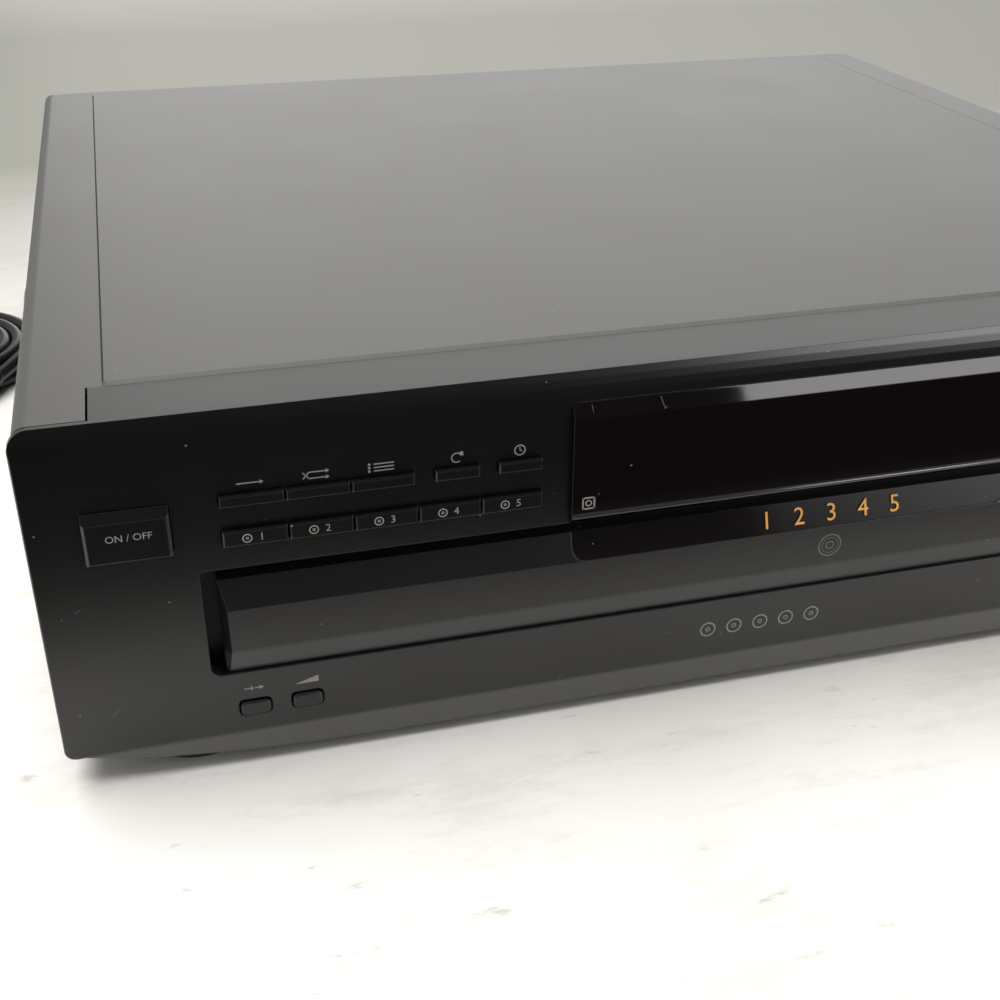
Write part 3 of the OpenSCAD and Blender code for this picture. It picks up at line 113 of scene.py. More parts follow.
def mesh_piece(name, points, faces, body, smooth=True, material=None):
    """A new object from points in millimetres, riding on a CAD body. A material is added if it is ready."""
    mesh = bpy.data.meshes.new(name)
    mesh.from_pydata((np.asarray(points, float) * MM).tolist(), [], [list(map(int, f)) for f in faces])
    mesh.polygons.foreach_set("use_smooth", np.full(len(mesh.polygons), smooth))
    mesh.update()
    if material:
        mesh.materials.append(material)
    made = bpy.data.objects.new(name, mesh)
    bpy.context.scene.collection.objects.link(made)
    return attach(made, body)


print("a tube of 3 rings with 8 sides has", len(capped(3, 8)), "faces")

# %% [markdown]
# ## A tube along a path
# The cord, its strain relief and the window's bead are all tubes. A curve
# object with a bevel depth would make one too, but its radius and its ends are
# harder to steer. So a circle is carried along the path, square to its heading.


# %% Sweep
def sweep(path, radius, sides=12):
    """A closed tube: a circle of the given radius at each point of the path, square to its heading.
    The circle's first arm lies level, across the heading, and the second completes the right angle."""
    path = np.asarray(path, float)
    heading = np.gradient(path, axis=0)
    heading /= np.linalg.norm(heading, axis=1, keepdims=True)
    across = np.cross(heading, [0.0, 0.0, 1.0])
    across /= np.linalg.norm(across, axis=1, keepdims=True)
    over = np.cross(across, heading)
    turn = np.linspace(0, 2 * np.pi, sides, endpoint=False)[None, :, None]
    ring_way = np.cos(turn) * across[:, None] + np.sin(turn) * over[:, None]
    radius = np.broadcast_to(np.asarray(radius, float), len(path))[:, None, None]
    points = (path[:, None] + radius * ring_way).reshape(-1, 3)
    return points, capped(len(path), sides)


print("a straight tube has", len(sweep([(0, 0, 0), (9, 0, 0)], 1.0)[0]), "points")

# %% [markdown]
# ## The coil of mains cord
# A hi-fi component has a thin two-core lead. The spare length is wound into a
# tidy coil beside the case. The coil is a circle whose radius steps in turn by
# turn, climbs one layer and steps out again, so that the turns lie a cord's
# width apart. A cloth or rope simulation could drop it there, but would not
# promise a length or a place.

# %% Coil
CORD_R = 3.0
FLOOR_Z = CORD_R + 0.1
COIL_AT = np.array([-279.0, 133.0])
OUTER_RING, MIDDLE_RING = 45.15, 39.05
LAYERS = (FLOOR_Z, 9.2)
ENTRY = 8.0
TURNS = 5 + 28 / 360
# degrees of winding over which the coil steps in, steps out and climbs
STEPS_IN = ((260, 360), (620, 720))
STEPS_OUT = ((1160, 1260), (1520, 1620))
CLIMB = (900, 980)


def ease(value, start, end):
    """0 before start, 1 after end, and the smooth cubic 3t^2 - 2t^3 between."""
    t = np.clip((value - start) / (end - start), 0, 1)
    return t * t * (3 - 2 * t)


def coil_path(per_turn=60):
    """Turns wound clockwise, by the angle wound: the radius eases in over the end of each lower
    turn and out over the upper ones, and the height eases up one layer on the third turn."""
    wound_by = np.linspace(0, TURNS * 360, int(TURNS * per_turn))
    inward = sum(ease(wound_by, *step) for step in STEPS_IN) - sum(ease(wound_by, *step) for step in STEPS_OUT)
    radius = OUTER_RING - (OUTER_RING - MIDDLE_RING) * inward
    height = LAYERS[0] + (LAYERS[1] - LAYERS[0]) * ease(wound_by, *CLIMB)
    angle = np.radians(ENTRY - wound_by)
    return np.column_stack([COIL_AT[0] + radius * np.cos(angle), COIL_AT[1] + radius * np.sin(angle), height])


coil = coil_path()
print("coil points:", len(coil), "turns:", round(TURNS, 2))

# %% [markdown]
# ## The lead's route
# The lead leaves the rear panel through a moulded bushing, falls to the floor,
# turns round the corner of the case and runs into the coil, with its plug
# beside it. It could be a Bezier curve object. A few stations, each with a
# tangent, give the same smooth line as plain numbers, and its length can be
# measured on the spot.

# %% Cord route
CORD_EXIT = (-185.0, 192.0, 40.0)
PLUG_AT = (-279.0, 69.0, 5.2)
BUSHING_END = (-185, 222, 40)
CORNER = (-231.5, 241, FLOOR_Z)
BESIDE = (-238, 216.6, FLOOR_Z)


def hermite(start, leave, end, arrive, count):
    """Cubic between two points with given tangents: (2s^3 - 3s^2 + 1) start + (s^3 - 2s^2 + s) leave
    + (3s^2 - 2s^3) end + (s^3 - s^2) arrive, on an even parameter s."""
    s = np.linspace(0, 1, count)[:, None]
    return (
        (2 * s**3 - 3 * s**2 + 1) * np.array(start)
        + (s**3 - 2 * s**2 + s) * np.array(leave)
        + (3 * s**2 - 2 * s**3) * np.array(end)
        + (s**3 - s**2) * np.array(arrive)
    )


def heading_at(degrees):
    """Unit heading of the clockwise coil at an angle from its centre."""
    angle = math.radians(degrees)
    return np.array([math.sin(angle), -math.cos(angle), 0.0])


stations = [
    hermite(CORD_EXIT, (0, 30, 0), BUSHING_END, (0, 30, 0), 9),
    hermite(BUSHING_END, (0, 122.7, 0), CORNER, (-56.4, -80.8, 0), 36),
    hermite(CORNER, (-9, -12.9, 0), BESIDE, (0, -38.6, 0), 10),
    hermite(BESIDE, (0, -66, 0), coil[0], 23.8 * heading_at(ENTRY), 24),
    coil,
    hermite(coil[-1], 62 * heading_at(ENTRY - TURNS * 360), PLUG_AT, (-55, 0, 0), 24),
]
cord_path = np.vstack([stations[0]] + [part[1:] for part in stations[1:]])
cord = mesh_piece("mains_lead", *sweep(cord_path, CORD_R, 14), "root")

# %% [markdown]
# ## The plug
# A moulded plug is one skin: a ribbed strain relief that grows out of the cord,
# then a body that swells to a flat face, with a grip groove before it. It could
# be modelled from a cube with a subdivision modifier. Sections along one axis
# are closer to how a moulder draws it. Each section is a superellipse, which
# goes from a circle to a soft rectangle as its power grows.


# %% Plug body and strain relief
def loft(sections, sides=32):
    """A closed skin over superellipse sections along X: |y/a|^n + |z/b|^n = 1 for each (x, a, b, z, n)."""
    at = np.array(sections, float)
    turn = np.linspace(0, 2 * np.pi, sides, endpoint=False)
    c, s = np.cos(turn)[None], np.sin(turn)[None]
    power = 2 / at[:, 4:5]
    y = at[:, 1:2] * np.sign(c) * np.abs(c) ** power
    z = at[:, 2:3] * np.sign(s) * np.abs(s) ** power + at[:, 3:4]
    points = np.stack([np.broadcast_to(at[:, 0:1], y.shape), y, z], -1).reshape(-1, 3)
    return points, capped(len(at), sides)


def joined(*parts):
    """Several (points, faces) pairs as one, each part's faces shifted past the points before it."""
    shift, points, faces = 0, [], []
    for some_points, some_faces in parts:
        points.append(np.asarray(some_points, float))
        faces += [np.asarray(f) + shift for f in some_faces]
        shift += len(some_points)
    return np.vstack(points), faces


# X from the cord's end, half width, half height, height of the middle and power of each section
PLUG_SECTIONS = [
    (1, 4.9, 4.6, 5.2, 2.0),
    (-2, 6.2, 5.0, 5.5, 2.3),
    (-9, 8.4, 6.4, 6.8, 2.8),
    (-15, 10.8, 8.2, 8.6, 3.4),
    (-17.5, 11.6, 8.8, 9.1, 4.0),
    (-18.4, 11.1, 8.3, 9.1, 4.0),
    (-19.3, 11.6, 8.8, 9.1, 4.0),
    (-25.4, 11.9, 8.9, 9.2, 4.4),
    (-26, 11.3, 8.4, 9.2, 4.4),
]
relief_path = cord_path[-16:]
along_relief = np.linspace(0, 1, len(relief_path))
ribs = 0.3 * (np.arange(len(relief_path)) % 3 > 0)
relief = sweep(relief_path, 3.3 + 1.3 * along_relief + ribs, 20)
plug_points, plug_faces = loft(PLUG_SECTIONS)
plug_points += [PLUG_AT[0], PLUG_AT[1], 0]
plug = mesh_piece("plug_body", *joined(relief, (plug_points, plug_faces)), "root")
print("plug faces:", len(plug.data.polygons))

# %% [markdown]
# ## The plug's blades
# Two flat blades stick out of the plug's face, rounded at the tips so that they
# find the slots. Each is a run of rectangles that shrink towards the tip. A
# bevelled box would do, but its tip would be flat.

# %% Blades
BLADE_X = np.array([0, -12, -15, -16.5, -17.6, -18])
BLADE_HALF = np.array([3.15, 3.15, 3.0, 2.5, 1.6, 0.6])
BLADE_Z = 9.2
BLADE_GAP = 12.8


def blade(y):
    """A flat blade at Y = y: rectangles along X whose half width shrinks like a quarter circle at the tip."""
    z = np.array([1, -1, -1, 1])[None] * BLADE_HALF[:, None] + BLADE_Z
    thick = np.array([-0.75, -0.75, 0.75, 0.75])[None] + y
    x = np.broadcast_to(BLADE_X[:, None], z.shape) + PLUG_AT[0] + PLUG_SECTIONS[-1][0]
    return np.stack([x, thick + 0 * z, z], -1).reshape(-1, 3), capped(len(BLADE_X), 4)


both_blades = joined(blade(PLUG_AT[1] - BLADE_GAP / 2), blade(PLUG_AT[1] + BLADE_GAP / 2))
blades = mesh_piece("plug_blades", *both_blades, "root", smooth=False)
print("blade faces:", len(blades.data.polygons))

# %% [markdown]
# ## The coil's tie
# A soft band holds the turns together. It goes once round the section of the
# coil. A torus would be too thick, so the band is a loop of four edges, two
# inside and two outside, carried round a squarish superellipse.

# %% Tie
BAND_SIDES = 48
BAND_HALF = (9.35, 6.03)


def band_edge(c, s, extra):
    """Superellipse |r/a|^4 + |z/b|^4 = 1 round the coil's section, a little larger by extra."""
    out = (BAND_HALF[0] + extra) * np.sign(c) * np.abs(c) ** 0.5
    up = (BAND_HALF[1] + 0.2 * extra) * np.sign(s) * np.abs(s) ** 0.5
    return MIDDLE_RING + out, (LAYERS[0] + LAYERS[1]) / 2 + up


def tie_band(angle, width=4.0, thick=0.3):
    """A closed band: inner and outer edges on both sides, set at an angle of the coil."""
    turn = np.linspace(0, 2 * np.pi, BAND_SIDES, endpoint=False)
    rows = []
    for extra, side in ((0, -1), (thick, -1), (thick, 1), (0, 1)):
        out, up = band_edge(np.cos(turn), np.sin(turn), extra)
        rows.append(np.column_stack([out, np.full_like(out, side * width / 2), up]))
    out, side, up = np.vstack(rows).T
    cos, sin = math.cos(angle), math.sin(angle)
    points = np.column_stack([COIL_AT[0] + out * cos - side * sin, COIL_AT[1] + out * sin + side * cos, up])
    return points, [*grid_faces(4, BAND_SIDES, closed_rows=True)]


tie = mesh_piece("cord_tie", *tie_band(math.radians(150)), "root")
print("tie faces:", len(tie.data.polygons))

# %% [markdown] ## What the new pieces stand for The CAD model holds a plain
# cord, coil and plug, so that its weight is right.

# %% Hand over the cord
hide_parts("mains_cord", "cord_coil")
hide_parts("mains_plug")
cord_looks = ((cord, "cord_vinyl"), (plug, "cord_vinyl"), (tie, "cord_vinyl"), (blades, "screw_steel"))
print("cord pieces:", cord.name, plug.name, blades.name, tie.name)

# %% [markdown]
# ## Shader maths as expressions
# Blender's materials are graphs of nodes, usually joined by hand. A wire here
# stands for one output of a node. Sums, products and differences of wires make
# Math nodes, and node() makes any other kind, with its settings first and then
# its inputs, so a finish reads like a formula.


# %% Wires
class Wire:
    """One socket of a material's node tree."""

    def __init__(self, tree, socket=None):
        self.tree, self.socket = tree, socket

    def node(self, kind, settings=None, inputs=None, out=0):
        """A node of a kind, its settings, its inputs by name or number, and the output wanted."""
        made = self.tree.nodes.new("ShaderNode" + kind)
        for key, value in (settings or {}).items():
            if key == "stops":
                ramp = made.color_ramp.elements
                while len(ramp) < len(value):
                    ramp.new(0.5)
                for stop, (at, color) in zip(ramp, value):
                    stop.position, stop.color = at, (*color, 1.0)
            else:
                setattr(made, key, value)
        for key, value in (inputs or {}).items():
            socket = made.inputs[key]
            if isinstance(value, Wire):
                self.tree.links.new(value.socket, socket)
            else:
                socket.default_value = value
        return Wire(self.tree, made.outputs[out] if made.outputs else None)

    def math(self, operation, a, b=0.0):
        """A Math node on two wires or numbers."""
        return self.node("Math", {"operation": operation}, {0: a, 1: b})

    # an operator between wires, or a wire and a number, makes the Math node of that name
    def __add__(self, other):
        return self.math("ADD", self, other)

    def __mul__(self, other):
        return self.math("MULTIPLY", self, other)

    def __sub__(self, other):
        return self.math("SUBTRACT", self, other)

    def __rsub__(self, other):
        return self.math("SUBTRACT", other, self)

    def __lt__(self, other):
        return self.math("LESS_THAN", self, other)

    def __gt__(self, other):
        return self.math("GREATER_THAN", self, other)

    __radd__ = __add__
    __rmul__ = __mul__

    def mix(self, low, high):
        """A colour between low and high by this wire."""
        return self.node("Mix", {"data_type": "RGBA"}, {0: self, 6: low, 7: high}, out=2)

    def part(self, axis):
        """One coordinate, X, Y or Z, of this wire's vector or colour."""
        return self.node("SeparateXYZ", None, {0: self}, out=axis)

    def rise(self, start, end):
        """0 where this wire is below start, 1 above end, a straight ramp between."""
        return self.node("MapRange", None, {"Value": self, "From Min": start, "From Max": end})

    def noise(self, scale, detail=3.0, roughness=0.5):
        """Noise on this wire's vector."""
        settings = {"Vector": self, "Scale": scale, "Detail": detail, "Roughness": roughness}
        return self.node("TexNoise", None, settings)

    def surface(self, shader):
        """The material's output, fed by a shader."""
        return self.node("OutputMaterial", None, {"Surface": shader})


print("a wire can:", sorted(tool for tool in vars(Wire) if tool[0] != "_"))

# %% [markdown]
# ## New materials and linear colours
# Tones are easiest to note as hex codes, as a screen shows them. Shaders add up
# light, so each code is turned into linear values first, as Blender's own
# colour field does.


# %% New material and linear colour
def new_material(name):
    """An empty material, and the wire that its nodes are made from."""
    made = bpy.data.materials.new(name)
    made.use_nodes = True
    made.node_tree.nodes.clear()
    return made, Wire(made.node_tree)


def linear(hexa):
    """A hex colour as linear RGBA: c / 12.92 near black, else ((c + 0.055) / 1.055)^2.4."""
    c = np.array([int(hexa[i : i + 2], 16) for i in (1, 3, 5)]) / 255
    c = np.where(c <= 0.04045, c / 12.92, ((c + 0.055) / 1.055) ** 2.4)
    return (*map(float, c), 1.0)


print("middle grey is", round(linear("#808080")[0], 3), "in linear light")

# %% [markdown]
# ## Wear, edge highlights and dust
# Handling rubs plastic paler along its edges, and a machine that has stood for
# years carries flecks of dust. The paler edges are also a painted highlight, for
# the thin line of light that a rounded edge catches. Both could be painted by
# hand. Here the rubbing and its painted highlight follow a rounded normal, which
# leaves the flat one only near an edge, and the flecks sit in the cells of a
# Voronoi pattern, so every part gets its own.

# %% Rubbed edges with a painted highlight, and dust
RUB_AND_SHEEN, FLECK = linear("#a8a7a4"), linear("#c9c7c2")
DUST_SCALE = 330.0


def rubbed_edges_and_sheen(color, normal, fine, rub_and_sheen):
    """Wear and a painted edge highlight: lighter where a rounded normal leaves the flat one, by 6 * amount *
    noise * (1 - cosine between them).
    """
    flat = color.node("NewGeometry", out="Normal")
    turned_by = color.node("VectorMath", {"operation": "DOT_PRODUCT"}, {0: normal, 1: flat}, out="Value")
    worn = (1.0 - turned_by) * (6.0 * rub_and_sheen) * fine
    return color.math("MINIMUM", worn, 1.0).mix(color, RUB_AND_SHEEN)


def dusty(color, place, dust):
    """Flecks at some cells' middles: nearer than 0.36 * (chance - 0.75), and only in a noise's patches."""
    cells = color.node("TexVoronoi", None, {"Vector": place, "Scale": DUST_SCALE}, out="Distance")
    chance = color.node("TexVoronoi", None, {"Vector": place, "Scale": DUST_SCALE}, out="Color").part("X")
    patch = place.noise(38.0, 3.0)
    speck = (cells < (chance - 0.75) * 0.36) * (patch > 0.48)
    return (speck * patch * dust).mix(color, FLECK)


print("dust: up to", DUST_SCALE, "flecks in a metre")

# %% [markdown]
# ## Finishes
# Most parts are moulded or painted, and differ in tone, gloss and texture. Each
# could have its own material, but one recipe covers them: a slow noise shifts
# the tone and the gloss, a fine noise gives the skin its grain, dust and rubbed
# edges with their painted highlight lie over that, and painted light and shade
# come last: paler level faces, a paler foot and a black opening.

# %% The general finish
# painted shade: black for the deep wall of the opening
RECESS_SHADE = linear("#020202")
FRONT_PART_Y = -0.17
OPENING_TOP, OPENING_HALF = 0.09, 0.2
CHIN_FADE = 0.0012


def finish(name, tone, other, rough=0.35, swing=0.08, blotch=18.0, grain=1500.0, bump=0.03, metal=0.0,
           edge=0.0003, rub_and_sheen=0.25, dust=0.0, coat=0.0, level=0.5, painted_recess_shade=None, painted_top_light=None, painted_chin_reflection=None):
    """A material: tone to other by slow noise, roughness rough + swing * noise, grain as bump.
    Top is the paler tone of level faces, a painted highlight. Chin is a height and the paler tone
    below it, a painted reflection of the pale floor. Recess is two depths in Y: past them the
    opening's wall turns black and dull, a painted shade."""
    made, wire = new_material(name)
    place = wire.node("TexCoord", out="Object")
    slow, fine = place.noise(blotch, 4.0), place.noise(grain, 2.0)
    color = slow.mix(linear(tone), linear(other))
    normal = wire.node("Bevel", {"samples": 4}, {"Radius": edge})
    # wear and a painted highlight: edges turn paler
    if rub_and_sheen:
        color = rubbed_edges_and_sheen(color, normal, fine, rub_and_sheen)
    if dust:
        color = dusty(color, place, dust)
    gloss = slow * swing + (rough - swing / 2) + fine * 0.02
    # painted highlight: level faces take a paler tone and a broader gloss
    if painted_top_light:
        upward = wire.node("NewGeometry", out="Normal").part("Z").rise(0.55, 1.0)
        color, gloss = upward.mix(color, linear(painted_top_light)), upward * 0.12 + gloss
    # painted reflection: low on the front the tone turns paler, for the pale floor it faces
    if painted_chin_reflection:
        under = (painted_chin_reflection[0] - place.part("Z")).rise(0.0, CHIN_FADE) * (place.part("Y") < FRONT_PART_Y)
        color = under.mix(color, linear(painted_chin_reflection[1]))
    # painted shade: deep in the opening the wall is painted black and dull
    if painted_recess_shade:
        off_middle = place.part("X").math("ABSOLUTE", place.part("X"))
        inside = (place.part("Z") < OPENING_TOP) * (off_middle < OPENING_HALF)
        deep = place.part("Y").rise(*painted_recess_shade) * inside
        color, gloss = deep.mix(color, RECESS_SHADE), deep * 0.35 + gloss
    grain_bump = {"Strength": bump, "Distance": 0.0002, "Height": fine, "Normal": normal}
    inputs = {
        "Base Color": color,
        "Roughness": gloss,
        "Metallic": metal,
        "Coat Weight": coat,
        "Coat Roughness": 0.05,
        "Specular IOR Level": level,
        "Normal": wire.node("Bump", None, grain_bump),
    }
    wire.surface(wire.node("BsdfPrincipled", None, inputs))
    return made


print("inner wall:", RECESS_SHADE)

# %% [markdown]
# ## What each part is made of
# The CAD model names a material slot for every part. A material could be given
# to each part by hand, but a table of settings for each slot keeps a whole
# machine's finishes in one place. Most of the plastics are near black and
# differ in gloss. The panel's chin and the door's foot, which face the floor,
# are painted a little paler, a painted reflection of the pale floor.

# %% Finish of every material slot
FINISHES = {
    "panel_plastic": dict(
        tone="#0d0c0c", other="#100f0f", rough=0.24, dust=0.7, grain=2600.0, bump=0.05, rub_and_sheen=0.08,
        # painted light and shade: paler level faces, a paler chin and a black opening
        level=0.62, painted_top_light="#30302f", painted_chin_reflection=(0.0112, "#484744"), painted_recess_shade=(-0.1898, -0.1891),
    ),
    "window_smoke": dict(
        tone="#0b0708", other="#0d0809", rough=0.04, swing=0.02, bump=0.0, rub_and_sheen=0.05, dust=0.7, edge=0.0004
    ),
    "display_glass": dict(tone="#1f2a26", other="#26322e", rough=0.1, swing=0.04, bump=0.0),
    "board_green": dict(tone="#1f4a2c", other="#2b5c38", rough=0.4, blotch=220.0, bump=0.1),
    "jack_plastic": dict(tone="#1a1a1b", other="#232324", rough=0.3),
    "cover_steel": dict(
        tone="#454543", other="#4b4a48", rough=0.4, swing=0.06, grain=2200.0, bump=0.1, dust=0.6, level=0.7
    ),
    "screw_steel": dict(tone="#5a5955", other="#77756f", rough=0.3, metal=1.0, grain=900.0, bump=0.1),
    "zinc_steel": dict(
        tone="#a3a49f", other="#bcbdb8", rough=0.32, swing=0.2, metal=1.0, blotch=90.0, bump=0.06
    ),
    "foot_rubber": dict(tone="#1b1b1a", other="#262625", rough=0.6, bump=0.15),
    "rear_steel": dict(tone="#262627", other="#303031", rough=0.42, grain=2200.0, bump=0.12),
    "transformer_iron": dict(
        tone="#5d5b56", other="#73706a", rough=0.45, metal=0.8, blotch=160.0, bump=0.1
    ),
    "cord_vinyl": dict(
        tone="#0e0e0e", other="#151515", rough=0.33, blotch=60.0, grain=900.0, bump=0.05, rub_and_sheen=0.0
    ),
    "frame_plastic": dict(tone="#3a3b3d", other="#46474a", rough=0.42, bump=0.08),
    "gear_plastic": dict(tone="#d9d6cc", other="#e6e3da", rough=0.36, bump=0.04),
    "motor_steel": dict(tone="#a9aaa6", other="#c2c3bf", rough=0.25, metal=1.0, bump=0.04),
    "belt_rubber": dict(tone="#141413", other="#1e1e1d", rough=0.62, bump=0.12, rub_and_sheen=0.0),
    "tray_plastic": dict(tone="#191919", other="#212121", rough=0.38, grain=2600.0, bump=0.07, dust=0.3),
    "door_plastic": dict(
        tone="#161515", other="#191818", rough=0.24, grain=2600.0, bump=0.04, dust=0.7, rub_and_sheen=0.15,
        # painted reflection of the pale floor on the door's lower facet
        level=0.6, painted_chin_reflection=(0.0385, "#303030"),
    ),
    "trim_gloss": dict(
        tone="#141111", other="#161313", rough=0.1, swing=0.04, bump=0.0, dust=0.7, rub_and_sheen=0.1, level=0.18
    ),
    "carousel_plastic": dict(
        tone="#1c1c1e", other="#252527", rough=0.4, grain=2600.0, bump=0.07, dust=0.25
    ),
    "lens_glass": dict(tone="#5f7f9c", other="#7f9dbb", rough=0.05, swing=0.02, bump=0.0, coat=1.0),
    "key_plastic": dict(
        tone="#0e0e0e", other="#121212", rough=0.22, grain=2600.0, bump=0.04, dust=0.8, rub_and_sheen=0.22,
        edge=0.00025,
    ),
    "knob_plastic": dict(tone="#0d0d0d", other="#131312", rough=0.26, bump=0.05, rub_and_sheen=0.2),
}
materials = {slot: finish(slot, **look) for slot, look in FINISHES.items()}
materials["dark_gear"] = finish("dark_gear", tone="#232325", other="#2c2c2e", rough=0.38, bump=0.04)
slot_of = {part["node"]: part["material_slot"] for part in frame["record"]["subparts"]}
slot_of["carousel_gear"] = "dark_gear"
for name, node in nodes.items():
    node.data.materials.clear()
    node.data.materials.append(materials[slot_of[name]])
for piece, slot in cord_looks:
    piece.data.materials.append(materials[slot])
print("materials:", len(materials))

# %% [markdown]
# ## Printed signs
# The signs are silk-screened: a thin film of grey ink on the plastic. They
# could be a picture wrapped over the panel, but a picture blurs close up. So
# each is a flat mesh a few hundredths of a millimetre proud, cut from strokes,
# rings, filled shapes and numerals, and it moves with the key or door that it
# sits on.

# %% Strokes and fills
PRINT = 0.04
LINE = 0.35
ARC_POINTS = 40


def stroke(line, width):
    """A ribbon along a straight or curved line: half the width to each side, along the normal."""
    p = np.asarray(line, float)
    ahead = np.gradient(p, axis=0)
    normal = np.column_stack([-ahead[:, 1], ahead[:, 0]]) / np.linalg.norm(ahead, axis=1, keepdims=True)
    points = np.hstack([p + normal * width / 2, p - normal * width / 2]).reshape(-1, 2)
    return points, [*grid_faces(len(p), 2, closed_columns=False)]


def bar(x, z, x2, z2, width=LINE):
    """A straight stroke from (x, z) to (x2, z2)."""
    return stroke([(x, z), (x2, z2)], width)


def ring(x, z, r, width=LINE, start=0.0, arc=360.0):
    """A circle's arc as a stroke: centre + r * (cos, sin) of the angles from start over arc, in degrees."""
    turn = np.radians(np.linspace(start, start + arc, ARC_POINTS))
    return stroke(np.column_stack([x + r * np.cos(turn), z + r * np.sin(turn)]), width)


def fill(*corners):
    """One flat face through the corners."""
    return np.array(corners, float), [np.arange(len(corners))]


def arrow(x, z, length, head=0.9, way=1):
    """A bar of a length about (x, z) with a filled triangle over its end, 1.1 head long, 1.4 head high."""
    tip, root = x + way * length / 2, x + way * (length / 2 - 1.1 * head)
    line = bar(x - way * length / 2, z, tip - way * head, z)
    return [line, fill((tip, z), (root, z + head * 0.7), (root, z - head * 0.7))]


print("a ring has", len(ring(0, 0, 1)[1]), "faces, an arrow", sum(len(f) for _, f in arrow(0, 0, 5)))

# %% [markdown]
# ## Numerals
# The disc keys and the door carry numerals. Drawing each outline by hand would
# take long, so they come from Blender's own plain font: a text object is made,
# turned into a mesh, read back as points and faces, and removed again.


# %% Numerals
def numeral(text, x, z, size):
    """Outline of a numeral, centred on a point, as points and faces."""
    curve = bpy.data.curves.new("numeral", "FONT")
    curve.body, curve.size, curve.resolution_u = text, size, 3
    curve.align_x = curve.align_y = "CENTER"
    sign = bpy.data.objects.new("numeral", curve)
    bpy.context.scene.collection.objects.link(sign)
    bpy.context.view_layer.update()
    mesh = bpy.data.meshes.new_from_object(sign.evaluated_get(bpy.context.evaluated_depsgraph_get()))
    points = np.zeros(len(mesh.vertices) * 3, np.float32)
    mesh.vertices.foreach_get("co", points)
    faces = [np.array(p.vertices[:]) for p in mesh.polygons]
    bpy.data.objects.remove(sign)
    bpy.data.curves.remove(curve)
    bpy.data.meshes.remove(mesh)
    return points.reshape(-1, 3)[:, :2].astype(float) + [x, z], faces


print("a five has", len(numeral("5", 0, 0, 3.1)[0]), "points")

# %% [markdown]
# ## Signs in place
# A sign drawn flat has to stand upright on the front, lean on the door's upper
# facet or lie on the carousel. Its faces must look outwards, or the ink would
# be seen from behind. Which way a flat face looks follows from the order of its
# corners, so the order is measured and set.


# %% Upright and level signs
def wound(points, faces, way):
    """Flat faces with their corners anticlockwise (way 1) or clockwise (way -1): twice a face's signed
    area is the sum of x * next y - y * next x, and a face of the wrong sign is read backwards."""
    x, y = points.T
    areas = [np.sum(x[f] * y[np.roll(f, -1)] - y[f] * x[np.roll(f, -1)]) for f in faces]
    return [f if area * way > 0 else f[::-1] for f, area in zip(faces, areas)]


def sign_piece(name, parts, body, material, front, tilt=0.0, pivot=0.0, facing=-1):
    """Flat parts set upright at Y = front, facing -Y or +Y. A tilt leans them back about Z = pivot:
    a height h above it goes to h * sin(tilt) back and h * cos(tilt) up."""
    points, faces = joined(*parts)
    height = points[:, 1] - pivot
    upright = [points[:, 0], front + height * math.sin(tilt), pivot + height * math.cos(tilt)]
    faces = wound(points, faces, -facing)
    return mesh_piece(name, np.column_stack(upright), faces, body, smooth=False, material=material)


def level_sign(name, parts, body, material, z):
    """Flat parts laid level at a height, facing up."""
    points, faces = joined(*parts)
    laid = np.column_stack([points, np.full(len(points), z)])
    return mesh_piece(name, laid, wound(points, faces, 1), body, smooth=False, material=material)


def turned(part, degrees, about):
    """A flat part turned about the origin and moved: (x cos a - y sin a, x sin a + y cos a) + about."""
    a = math.radians(degrees)
    spin = np.array([[math.cos(a), math.sin(a)], [-math.sin(a), math.cos(a)]])
    return part[0] @ spin + about, part[1]


def moved(parts, x, z):
    """Parts drawn about the origin, moved to (x, z)."""
    return [(points + (x, z), faces) for points, faces in parts]


print("a turned bar ends at", turned(bar(0, 0, 1, 0), 90, (0, 0))[0].mean(axis=0).round(2))

# %% [markdown]
# ## Inks
# Screen ink is matt, and uneven where the film is thin. A flat colour would
# look pasted on, so two tones are mixed by a fine noise. The ink on the door
# has worn, and the numbers on the gloss strip are orange.


# %% Inks
def ink(name, hexa, other):
    """Screen ink: hexa to other, and roughness 0.45 + 0.1 * noise, by one fine noise."""
    made, wire = new_material(name)
    patchy = wire.node("TexCoord", out="Object").noise(900.0, 3.0)
    inputs = {"Base Color": patchy.mix(linear(hexa), linear(other)), "Roughness": patchy * 0.1 + 0.45}
    wire.surface(wire.node("BsdfPrincipled", None, inputs))
    return made


grey_ink = ink("ink_grey", "#8e8d8a", "#757471")
worn_ink = ink("ink_worn", "#686764", "#565552")
orange_ink = ink("ink_orange", "#f0ab3e", "#dd9a31")
print("inks:", grey_ink.name, worn_ink.name, orange_ink.name)

# %% [markdown]
# ## Signs on the front panel
# A sign beside each key says what it does. Plain signs do so without a word:
# an arrow for play in order, crossed arrows for random order, three lines for a
# list, a loop for repeat, a small clock for time and a wedge for level. They
# are drawn about their own middle and then moved to their key.

